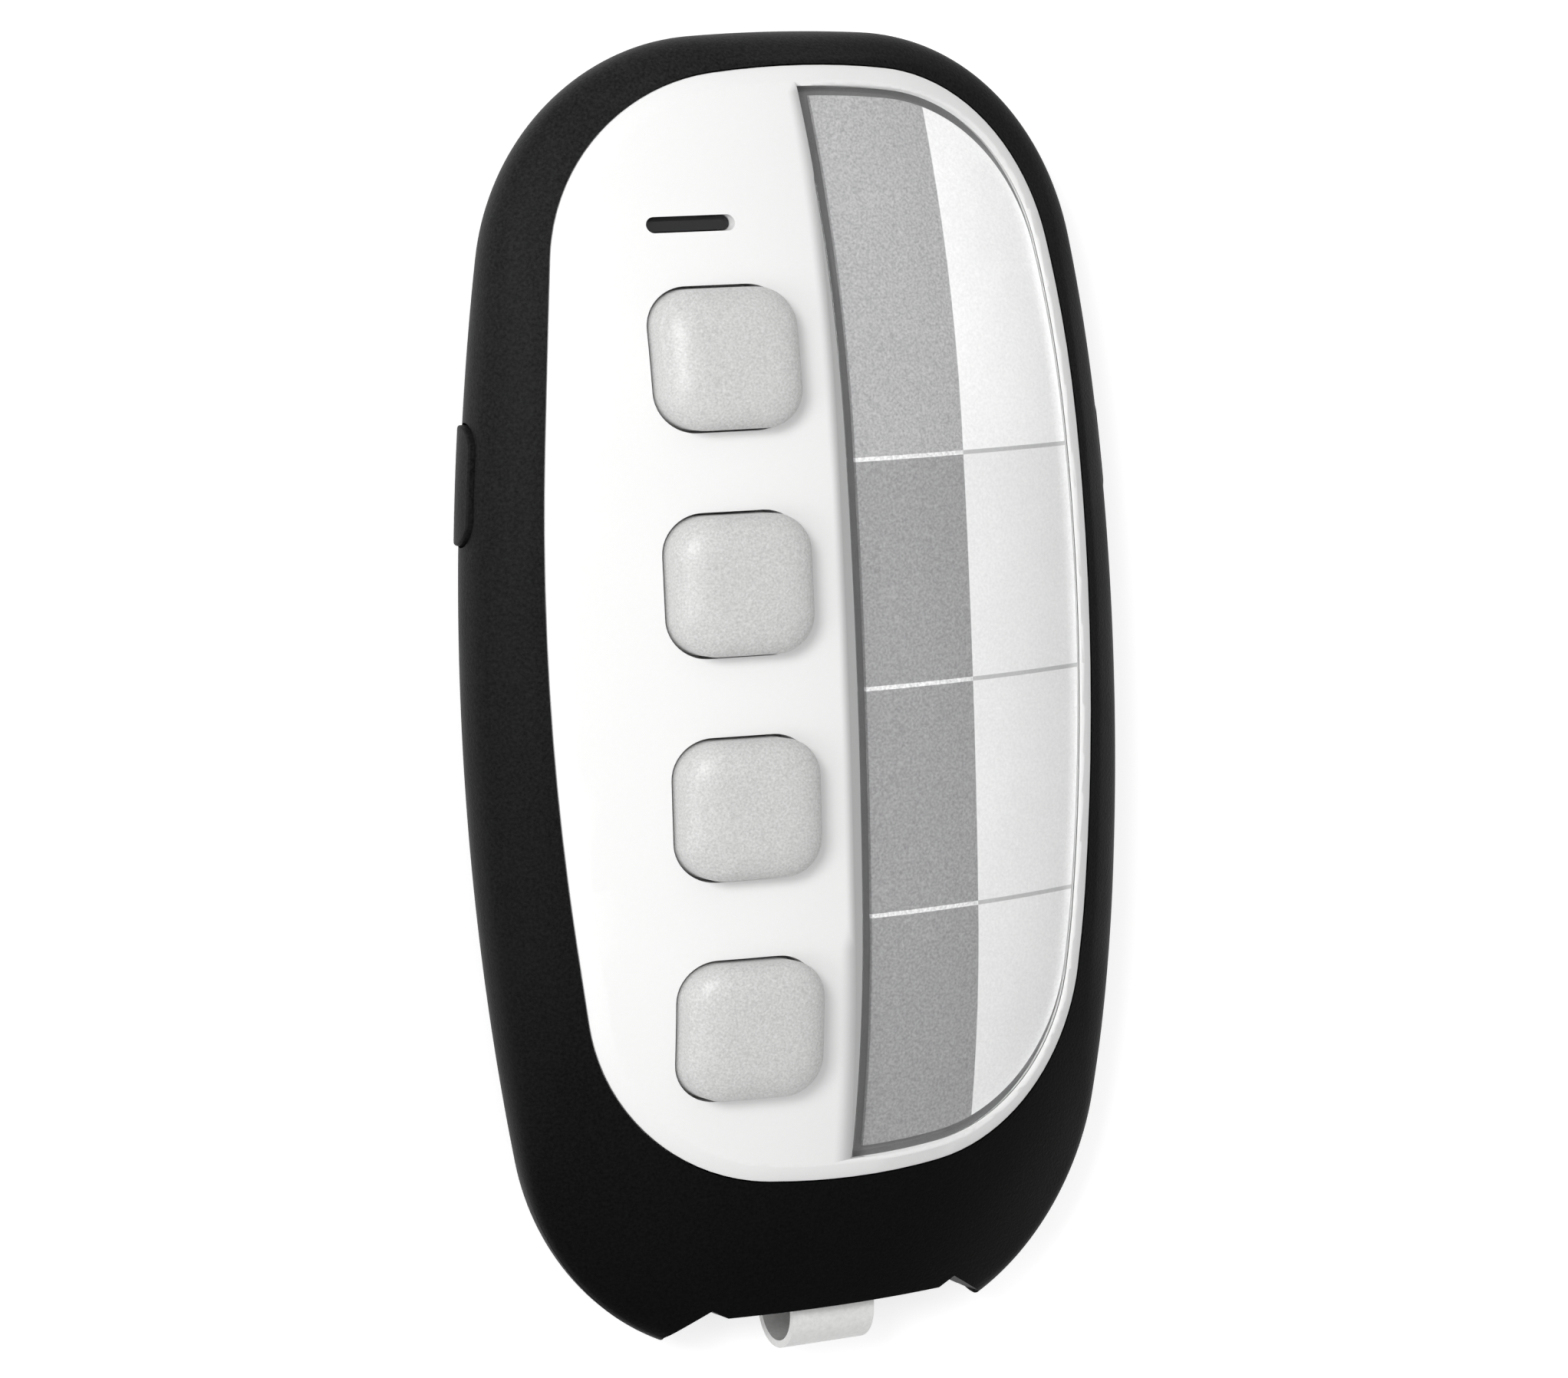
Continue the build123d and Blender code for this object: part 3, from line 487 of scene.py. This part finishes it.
body_head, body_foot = (43.65, 118.0, 16.6), (45.0, 41.0, 17.3)
body_oval = Oval(24.25, -4.5, 182.0, body_head, body_foot)
face_end = (36.8, 61.3, 13.7)
face_oval = Oval(20.4, 0.0, 168.0, face_end, face_end)
print("half widths:", body_oval.point(0.0, 0.0)[0], "and", face_oval.point(0.0, 0.0)[0], "mm")


# %% Height of the face, and the lower of two heights with a soft change
face_top, crown_middle, crown_half = 16.0, -3.4, 16.0
cross_radius, long_radius, tail_radius = 47.6, 400.0, 80.0
bend = np.arcsin(crown_half / long_radius)
tail_centre = (long_radius - tail_radius) * np.sin(bend)
tail_drop = long_radius - (long_radius - tail_radius) * np.cos(bend)


def pillow(x, y, depth=0.0):
    """Height of the face: an arc across, turned about a lengthwise curve of three arcs.

    The fall along y shortens the cross arc's radius; a depth shortens the lengthwise ones.
    """
    along = np.abs(y - crown_middle)
    on_crown = np.minimum(along, crown_half)
    middle = long_radius - np.sqrt((long_radius - depth) ** 2 - on_crown**2)
    on_tail = np.maximum(along, crown_half) - tail_centre
    tail = tail_drop - np.sqrt((tail_radius - depth) ** 2 - on_tail**2)
    fall = np.where(along < crown_half, middle, tail)
    return face_top - cross_radius + np.sqrt((cross_radius - fall) ** 2 - x**2)


def soft_lower(first, second, width):
    """The lower height, joined by a parabola where the two differ by less than a width."""
    share = np.clip(0.5 + 0.5 * (second - first) / width, 0.0, 1.0)
    return second + (first - second) * share - width * share * (1.0 - share)


print("the face drops", (face_top - pillow(0.0, 40.0)).round(2), "mm at its head")

# %% Columns of the shell's grid, round the outline
# Round the head and the flanks each column keeps one direction. At the feet the columns
# keep one x, so that the grooves and the lip come out straight.
foot_gap, groove_x, lip_x = 12.15, 9.3, 8.1
foot_side_y, groove_y, lip_y = -47.1, -45.4, -46.05
foot_switch = np.radians(50.0)
free_inset = 4.0
(_, foot_corner, foot_end), foot_radii, foot_turns = body_oval.foot
side_radius, corner_radius, end_radius = foot_radii


def spread(stops, radii, step):
    """Directions along arcs, so that the points lie about one step apart."""
    runs = [np.linspace(low, high, max(int((high - low) * radius / step), 2), endpoint=False)
            for low, high, radius in zip(stops, stops[1:], radii)]
    return np.concatenate(runs)


right_half = spread([-foot_switch, -foot_turns[0], 0.0, *body_oval.head[2], np.pi / 2],
                    [corner_radius, side_radius, *body_oval.head[1]], 0.6)
directions = np.concatenate([right_half, [np.pi / 2], np.pi - right_half[::-1]])
outer_run = np.linspace(-2.0, -1.0, 12)[1:]
notch_x = np.concatenate([np.linspace(-foot_gap, -groove_x, 10),
                          np.linspace(-groove_x, -lip_x, 5)[1:], np.linspace(-lip_x, 0.0, 20)[1:]])
notch_run = np.concatenate([notch_x, -notch_x[-2::-1]]) / foot_gap
foot_run = np.concatenate([outer_run, notch_run, -outer_run[::-1]])
is_notch = np.zeros(len(directions) + len(foot_run), dtype=bool)
is_notch[len(directions) + len(outer_run):-len(outer_run)] = True
print(len(directions), "columns round the head,", len(foot_run), "at the feet")


# %% From inset to plan
def plan(inset):
    """Plan of a row: the drawn-in oval, sampled at steady x between the feet."""
    inset = np.broadcast_to(inset, np.shape(inset)[:-1] + (len(is_notch),))
    round_x, round_y = body_oval.point(directions, inset[..., :len(directions)])
    foot_inset = inset[..., len(directions):]
    corner, end = corner_radius - foot_inset, end_radius - foot_inset
    switch_x = foot_corner[0] + corner * np.cos(foot_switch)
    free_x = foot_corner[0] + (corner_radius - free_inset) * np.cos(foot_switch)
    squeeze = np.minimum(switch_x / free_x, 1.0)
    within = np.clip(foot_run, -1.0, 1.0)
    foot_x = within * foot_gap * squeeze + (foot_run - within) * (switch_x - foot_gap * squeeze)
    on_corner = np.abs(foot_x) > end * np.cos(foot_turns[1])
    corner_y = foot_corner[1] + np.sqrt(
        np.maximum(corner**2 - (np.abs(foot_x) - foot_corner[0]) ** 2, 0.0))
    end_y = foot_end[1] + np.sqrt(end**2 - foot_x**2)
    foot_y = body_oval.centre_y - np.where(on_corner, corner_y, end_y)
    return np.concatenate([round_x, foot_x], axis=-1), np.concatenate([round_y, foot_y], axis=-1)


def notch_y(x):
    """The feet's inner sides, the two grooves and the lip, as straight lines of y over x."""
    return np.interp(np.abs(x), [lip_x, groove_x, foot_gap], [lip_y, groove_y, foot_side_y])


widest_inset, halvings = 16.0, 45


def inset_at(oval, distance):
    """Inset at which each column lies at a distance outside an oval, by halving."""
    low, high = np.zeros(len(is_notch)), np.full(len(is_notch), widest_inset)
    for _ in range(halvings):
        middle = (low + high) / 2
        beyond = oval.outside(*plan(middle)) > distance
        low, high = np.where(beyond, middle, low), np.where(beyond, high, middle)
    return (low + high) / 2


face_clearance, ledge_width = 0.1, 1.5
edge_inset = inset_at(face_oval, face_clearance)
ledge_inset = inset_at(face_oval, -ledge_width)
print("the slope is", edge_inset.min().round(2), "to", edge_inset.max().round(2), "mm wide")

# %% Rows of the shell's grid, up the profile
cover_top, waist = 2.2, 6.4
base_inset, base_power = 1.73, 1.775
slope_inset, slope_rise, slope_power, slope_back = 6.4, 7.4, 0.459, 2.18
wall, edge_depth, ledge_depth, roof_depth, end_wall = 1.6, 0.42, 2.0, 3.2, -43.7
soft_shoulder, least_softness, roof_inset = 1.9, 0.001, 1.9


def lower_inset(height):
    """The flank below the waist draws in as a power of the drop."""
    return base_inset * ((waist - height) / (waist - cover_top)) ** base_power


def flank_height(inset):
    """The flank above the waist climbs as a power of the inset."""
    return waist + slope_rise * (inset / slope_inset) ** slope_power


def row_set(inset, height, inner=False):
    """Rows of points; outer rows stop at the notch, inner ones at the end wall."""
    x, y = plan(inset)
    y = np.maximum(y, end_wall) if inner else np.where(is_notch, np.maximum(y, notch_y(x)), y)
    return np.stack([x, y, np.broadcast_to(height, x.shape)], axis=-1)


def face_row(inset, depth):
    """One row at a depth below the pillow."""
    row = row_set(inset[None], 0.0)
    return np.dstack([row[..., :2], pillow(row[..., 0], row[..., 1], depth)])


flank_z = np.linspace(cover_top, waist, 14)[:, None]
lower_rows = row_set(lower_inset(flank_z) + np.zeros(len(is_notch)), flank_z)

plan_x = plan(np.zeros(len(is_notch)))[0]
notch_inset = -body_oval.outside(plan_x, notch_y(plan_x))
near_rows, far_rows, near_share = 14, 30, 0.2
flank_break = np.minimum(near_share * edge_inset, notch_inset[is_notch][0])
break_inset = np.where(is_notch, notch_inset, flank_break)
near = (np.arange(1, near_rows + 1)[:, None] / near_rows) ** 2 * break_inset
far_steps = np.arange(1, far_rows + 1)[:, None] / far_rows
far = break_inset + far_steps * (edge_inset - break_inset)
upper_inset = np.concatenate([near, far])
soft_width = soft_shoulder * (1.0 - (upper_inset / edge_inset) ** 4) + least_softness
free_x, free_y = plan(upper_inset)
upper_z = soft_lower(flank_height(upper_inset), pillow(free_x, free_y, edge_depth), soft_width)
upper_rows = row_set(upper_inset, upper_z)

ledge_rows = [face_row(edge_inset, ledge_depth), face_row(ledge_inset, ledge_depth),
              face_row(ledge_inset, roof_depth)]
roof_x, roof_y = plan(np.full(len(is_notch), roof_inset))
roof = pillow(roof_x, np.maximum(roof_y, end_wall), roof_depth)
inner_z = cover_top + np.linspace(1.0, 0.0, 9)[:, None] * (roof - cover_top)
above_waist = np.maximum(inner_z - waist, 0.0) / slope_rise
outer_inset = np.where(inner_z < waist, lower_inset(np.minimum(inner_z, waist)),
                       slope_inset * above_waist**slope_back)
inner_rows = row_set(outer_inset + wall, inner_z, inner=True)
shell_points = np.concatenate([lower_rows, upper_rows, *ledge_rows, inner_rows])
print("shell grid:", shell_points.shape)


# %% A grid closed both ways, as a mesh
def closed_grid(title, points):
    """Mesh of a ring of rings (rows, columns, 3) in millimetres, with faces outwards."""
    rows, columns = points.shape[:2]
    index = np.arange(rows * columns).reshape(rows, columns)
    above, beside = np.roll(index, -1, axis=0), np.roll(index, -1, axis=1)
    across = np.roll(above, -1, axis=1)
    quads = np.stack([index, beside, across, above], axis=-1).reshape(-1, 4)
    mesh = bpy.data.meshes.new(title)
    mesh.from_pydata((points.reshape(-1, 3) * mm).tolist(), [], quads.tolist())
    return mesh


def settle(mesh, crease_degrees=30.0):
    """Merges doubles, turns faces outwards, and shades smooth up to a crease angle."""
    work = bmesh.new()
    work.from_mesh(mesh)
    bmesh.ops.remove_doubles(work, verts=work.verts, dist=0.002 * mm)
    bmesh.ops.dissolve_degenerate(work, edges=work.edges, dist=0.0005 * mm)
    bmesh.ops.recalc_face_normals(work, faces=work.faces)
    work.to_mesh(mesh)
    work.free()
    mesh.polygons.foreach_set("use_smooth", np.ones(len(mesh.polygons), dtype=bool))
    mesh.set_sharp_from_angle(angle=np.radians(crease_degrees))
    return mesh


def new_piece(title, mesh, material, body="case"):
    """Object at the origin with one material, riding on a body."""
    piece = bpy.data.objects.new(title, mesh)
    bpy.context.collection.objects.link(piece)
    mesh.materials.append(material)
    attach(piece, body)
    return piece


shell = new_piece("case_shell", settle(closed_grid("case_shell", shell_points)), soft_black)
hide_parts("case_body")
print("case_shell:", len(shell.data.vertices), "points,", len(shell.data.polygons), "faces")

# %% [markdown]
# ## Windows for the side catches
# The two pads slide inwards, so the shell needs openings for them. A hole in a curved wall
# is easiest as a cut: a prism with the pad's rounded outline is taken away from the wall.

# %% A stack of rings with flat ends, and a cut
def capped_stack(title, rings):
    """Mesh of rings (rows, columns, 3) in millimetres, closed by one face at each end."""
    rows, columns = rings.shape[:2]
    index = np.arange(rows * columns).reshape(rows, columns)
    beside = np.roll(index, -1, axis=1)
    quads = np.stack([index[:-1], beside[:-1], beside[1:], index[1:]], axis=-1).reshape(-1, 4)
    caps = [index[0][::-1].tolist(), index[-1].tolist()]
    mesh = bpy.data.meshes.new(title)
    mesh.from_pydata((rings.reshape(-1, 3) * mm).tolist(), [], quads.tolist() + caps)
    return settle(mesh)


def rounded_outline(width, height, corner, per_corner=8):
    """Rectangle whose corners are quarter circles, as (points, 2)."""
    turn = np.linspace(0.0, np.pi / 2, per_corner)
    quarters = [turn + quarter * np.pi / 2 for quarter in range(4)]
    signs = [(1, 1), (-1, 1), (-1, -1), (1, -1)]
    return np.concatenate([
        np.stack([x * (width / 2 - corner) + corner * np.cos(angle),
                  y * (height / 2 - corner) + corner * np.sin(angle)], axis=-1)
        for angle, (x, y) in zip(quarters, signs)])


def cut_away(piece, cutter_mesh):
    """Takes a closed mesh away from a piece and keeps the result as the piece's mesh."""
    cutter = bpy.data.objects.new("cutter", cutter_mesh)
    bpy.context.collection.objects.link(cutter)
    cut = piece.modifiers.new("cut", "BOOLEAN")
    cut.operation, cut.solver, cut.object = "DIFFERENCE", "EXACT", cutter
    bpy.context.view_layer.update()
    graph = bpy.context.evaluated_depsgraph_get()
    old = piece.data
    piece.data = bpy.data.meshes.new_from_object(piece.evaluated_get(graph))
    piece.modifiers.clear()
    bpy.data.objects.remove(cutter)
    for mesh in (cutter_mesh, old):
        bpy.data.meshes.remove(mesh)
    settle(piece.data)


print("helpers: capped_stack, rounded_outline, cut_away")

# %% Cut the two windows
opening_length, opening_height, opening_corner = 8.1, 4.3, 1.85
opening_centre, cutter_reach = (10.4, 5.3), (19.0, 27.0)
opening = rounded_outline(opening_length, opening_height, opening_corner) + opening_centre
opening_y, opening_z = opening.T
for side in (1, -1):
    rings = np.stack([
        np.stack([np.full(len(opening_y), side * reach), opening_y, opening_z], axis=-1)
        for reach in cutter_reach])
    cut_away(shell, capped_stack("window cutter", rings))
print("case_shell with windows:", len(shell.data.polygons), "faces")

# %% [markdown]
# ## The label window
# Looked at from the left, the window shows three things along its long side: a narrow step
# of the white plate, the clear cover's fine rounded edge, and a dark gap before the card.
# The gap is painted shade: a dark tray under the card stands for the shadow in it.
# The cover, the tray and the card are layers of one kind: an outline drawn in step by step,
# with each ring laid at its depth below the pillow. Their long side drifts outwards towards
# both ends, as the square of the distance from the middle.

# %% A layer with an edge profile
def bow(y):
    """Share by which the window's long edges drift outwards towards both ends."""
    return ((y - window_middle) / window_bow) ** 2


def label_outline(left, margin, inset, squash=1.0, drift=0.0):
    """Outline right of a long side: part of the face's oval, then the side, as (x, y).

    The drift moves the long side by its whole amount and the right end not at all.
    """
    reach = face_end[1] - margin - inset
    lean = np.arcsin(-(left + inset) / reach)
    stops = [-np.pi / 2 - lean, -face_oval.head[2][1], -face_oval.head[2][0], 0.0,
             *face_oval.head[2], np.pi / 2 + lean]
    per_arc, per_side = 26, 72
    bends = np.concatenate([np.linspace(low, high, per_arc, endpoint=False)
                            for low, high in zip(stops, stops[1:])] + [[stops[-1]]])
    x, y = face_oval.point(bends, margin + inset)
    side = np.linspace(1.0, -1.0, per_side)[1:-1]
    x = np.concatenate([x, np.full(len(side), left + inset)])
    y = np.concatenate([y, side * y.max()]) * squash
    return x - drift * bow(y) * (x.max() - x) / (x.max() - x.min()), y


def layer(title, left, margin, profile, squash=1.0, drift=0.0, centre=(9.0, 0.0)):
    """Closed layer: rings at (inset, depth) pairs, filled by rings shrunk to a centre."""
    rings = []
    for inset, depth in profile:
        x, y = label_outline(left, margin, inset, squash, drift)
        rings.append(np.stack([x, y, pillow(x, y, depth)], axis=-1))
    for end in (0, -1):
        (inset, depth), shrink = profile[end], np.linspace(1.0, 0.02, 14)[1:, None]
        x, y = label_outline(left, margin, inset, squash, drift)
        x, y = centre[0] + (x - centre[0]) * shrink, centre[1] + (y - centre[1]) * shrink
        fill = np.stack([x, y, pillow(x, y, depth)], axis=-1)
        rings = list(fill[::-1]) + rings if end == 0 else rings + list(fill)
    return capped_stack(title, np.array(rings))


def edge_round(top_depth, radius, steps=5):
    """Quarter circle between the wall and the top, as (inset, depth) pairs."""
    turn = np.linspace(0.0, np.pi / 2, steps)
    return [(radius * (1 - np.cos(a)), top_depth + radius * (1 - np.sin(a))) for a in turn]


# The first three lines give left side, margin inside the face's edge, and the depths of
# floor and top; the last gives the edge's radius, the two drifts and the card's shortening.
cover_left, cover_margin, cover_floor, cover_top_depth = -0.49, 1.45, 1.02, 0.13
tray_left, tray_margin, tray_floor, tray_top = -0.5, 1.4, 1.55, 1.35
card_left, card_margin, card_floor, card_top = 0.5, 1.55, 1.345, 1.07
cover_round, label_drift, card_drift, card_squash = 0.05, 0.3, 0.22, 0.983
cover_profile = [(0.0, cover_floor)] + edge_round(cover_top_depth, cover_round)
cover_mesh = layer("label_cover", cover_left, cover_margin, cover_profile, drift=label_drift)
cover = new_piece("label_cover", cover_mesh, clear, body="label_window")
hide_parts("label_window")
# The dark tray under the card is painted shade for the shadowed gap beside it.
shade_tray_mesh = layer("shade_tray", tray_left, tray_margin, [(0.0, tray_floor), (0.0, tray_top)],
                  drift=label_drift)
shade_tray_piece = new_piece("shade_tray", shade_tray_mesh, shade_tray_grey)
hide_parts("label_tray")
card_mesh = layer("paper_card", card_left, card_margin, [(0.0, card_floor), (0.0, card_top)],
                  squash=card_squash, drift=card_drift)
paper = new_piece("paper_card", card_mesh, card)
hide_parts("label_card")
print("label layers:", [len(piece.data.polygons) for piece in (cover, shade_tray_piece, paper)])


# %% [markdown]
# ## The white plate
# The plate's holes, slot and rim are right as they come, so its own mesh is kept and two
# bars are taken away: one widens the pocket to the left, the other sinks the step beside
# it. The floor of a bar follows the pillow, so the cut is equally deep all the way.

# %% Cut the pocket and the step
def strip(left, drift, power, right, depth, lift=2.0, rows=81):
    """Bar along Y for cutting: its left side drifts, its floor follows the pillow."""
    y = np.linspace(-window_half, window_half, rows)
    left, right = left + drift * bow(y) ** power, np.full(rows, right)
    corners = [(left, depth, 0.0), (right, depth, 0.0), (right, 0.0, lift), (left, 0.0, lift)]
    rings = np.stack([np.stack([x, y, pillow(x, y, down) + up], axis=-1)
                      for x, down, up in corners], axis=1)
    return capped_stack("strip", rings)


pocket_left, pocket_drift, pocket_right, pocket_depth = -0.52, -0.32, 0.3, 1.55
step_right, step_depth = 0.1, 0.12
plate_mesh = nodes["face_plate"].data.copy()
plate = new_piece("white_face", settle(plate_mesh), satin_white)
cut_away(plate, strip(pocket_left, pocket_drift, 1, pocket_right, pocket_depth))
cut_away(plate, strip(step_left, step_drift, 2, step_right, step_depth))
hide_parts("face_plate")
print("white_face:", len(plate.data.polygons), "faces")

# %% [markdown]
# ## The four buttons
# Each button is a cap with a wide, soft edge. A cube with a bevel would be quicker, but its
# top would stay flat, and these tops follow the pillow. So it is again a stack of rings: up
# the stem, out under the roof, round the flange, up the wall and over the edge to the middle.

# %% Buttons as stacks of rounded squares
cap_half, cap_corner, cap_rise = 4.55, 2.56, 2.4
edge_width, edge_drop, corner_share = 2.5, 1.15, 0.55
arc_points, side_points = 12, 9
side_starts = np.arange(1, 5)[:, None] * arc_points - 1
side_steps = (side_starts + np.linspace(0, 1, side_points)).ravel()[:-1]
steps_round = np.unique(np.concatenate([np.arange(4 * arc_points), side_steps]))


def square_ring(half, corner, depth, centre, level=None):
    """Rounded square about a centre, at a depth below the pillow or at one level."""
    outline = rounded_outline(2 * half, 2 * half, corner, arc_points)
    outline = np.concatenate([outline, outline[:1]])
    x, y = (centre[axis] + np.interp(steps_round, np.arange(len(outline)), outline[:, axis])
            for axis in (0, 1))
    height = pillow(x, y, depth) if level is None else np.full(len(x), level)
    return np.stack([x, y, height], axis=-1)


# Each row of a profile is (half width, corner radius, depth below the pillow). A round stem
# is a square whose corner radius is nearly its half width.
stem, hollow, flange = (1.7, 1.699), (3.395, 1.36), (5.335, 3.3)
roof_under, flange_low, flange_high = -1.0, 2.92, 2.12
under_profile = [(*stem, roof_under), (*hollow, roof_under), (*hollow, flange_low),
                 (*flange, flange_low), (*flange, flange_high),
                 (cap_half, cap_corner, flange_high)]
swing = np.linspace(0.0, np.pi / 2, 14)
edge_insets = edge_width * (1 - np.cos(swing))
edge_depths = edge_drop * (1 - np.sin(swing)) - cap_rise
edge_profile = np.stack([cap_half - edge_insets, cap_corner - corner_share * edge_insets,
                         edge_depths], axis=-1)
top_share = np.linspace(1.0, 0.05, 8)[1:, None]
top_profile = np.hstack([edge_profile[-1, :2] * top_share, np.full_like(top_share, -cap_rise)])
cap_profile = np.concatenate([under_profile, edge_profile, top_profile])

button_x, first_button_y, button_pitch = -8.72, 18.03, 14.6
for number in range(1, 5):
    centre, name = (button_x, first_button_y - button_pitch * (number - 1)), f"button_{number}"
    stem_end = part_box(f"switch_plunger_{number}")[1][2] / mm
    rings = [square_ring(*stem, 0.0, centre, stem_end)]
    rings += [square_ring(*row, centre) for row in cap_profile]
    cap = new_piece(f"soft_{name}", capped_stack(name, np.array(rings)), button_grey, body=name)
    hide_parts(name)
print("buttons:", len(cap.data.polygons), "faces each, stem to", round(stem_end, 2), "mm")

# %% [markdown]
# ## Floor and light
# The fob lies on a pale table under soft light from the upper left, which gives the
# buttons their bright left edge and the faint shadow on their right. A bright sky alone
# would light it evenly and hide those edges; two square lamps place them, and the larger a
# lamp is, the softer is its shadow.

# %% Floor
floor_half = 1.5
floor_corners = floor_half * np.array([(-1, -1, 0), (1, -1, 0), (1, 1, 0), (-1, 1, 0)])
floor_mesh = bpy.data.meshes.new("floor")
floor_mesh.from_pydata(floor_corners.tolist(), [], [(0, 1, 2, 3)])
floor = bpy.data.objects.new("floor", floor_mesh)
bpy.context.collection.objects.link(floor)
table_top, table_tree, table_shader, _ = new_material("pale table")
table_shader.inputs["Base Color"].default_value = (0.93, 0.93, 0.93, 1.0)
table_shader.inputs["Roughness"].default_value = 0.8
# The glow lifts what is seen of the table, directly or in the window, to white.
table_paths = add_node(table_tree, "ShaderNodeLightPath").outputs
bounced = math(table_tree, "ADD", table_paths["Is Glossy Ray"],
               table_paths["Is Transmission Ray"])
seen = math(table_tree, "ADD", table_paths["Is Camera Ray"], bounced)
table_shader.inputs["Emission Color"].default_value = (1.0, 1.0, 1.0, 1.0)
glow = 0.42
lift = math(table_tree, "MULTIPLY", seen, glow)
table_tree.links.new(lift, table_shader.inputs["Emission Strength"])
floor_mesh.materials.append(table_top)
print("floor", 2 * floor_half, "m wide")

# %% Lamps and sky
def soft_lamp(title, place, size, power, target=(0.0, 0.0, 0.01)):
    """Square area lamp that points at a target."""
    data = bpy.data.lights.new(title, "AREA")
    data.size = size
    data.energy = power
    lamp = bpy.data.objects.new(title, data)
    bpy.context.collection.objects.link(lamp)
    lamp.location = place
    back = lamp.location - Vector(target)
    lamp.rotation_euler = back.to_track_quat("Z", "Y").to_euler()
    return lamp


soft_lamp("key light", place=(-0.31, 0.15, 0.35), size=0.15, power=1.12)
soft_lamp("side panel", place=(-0.50, -0.04, 0.26), size=0.26, power=0.5)

world = bpy.data.worlds.new("studio")
bpy.context.scene.world = world
world.use_nodes = True
sky = world.node_tree
# The sky is dim at the horizon and bright overhead; seen directly it is white.
sky_axes = add_node(sky, "ShaderNodeSeparateXYZ", {
    0: add_node(sky, "ShaderNodeTexCoord").outputs["Generated"]})
overhead = add_node(sky, "ShaderNodeMapRange", {
    "Value": sky_axes.outputs["Z"], "To Min": 0.30, "To Max": 0.80})
sky_seen = add_node(sky, "ShaderNodeLightPath").outputs["Is Camera Ray"]
sky_strength = math(sky, "MAXIMUM", overhead.outputs[0], sky_seen)
sky.links.new(sky_strength, sky.nodes["Background"].inputs["Strength"])
sky.nodes["Background"].inputs["Color"].default_value = (1.0, 1.0, 1.0, 1.0)
bpy.context.scene.view_settings.view_transform = "Standard"
print("two soft lamps and a sky")
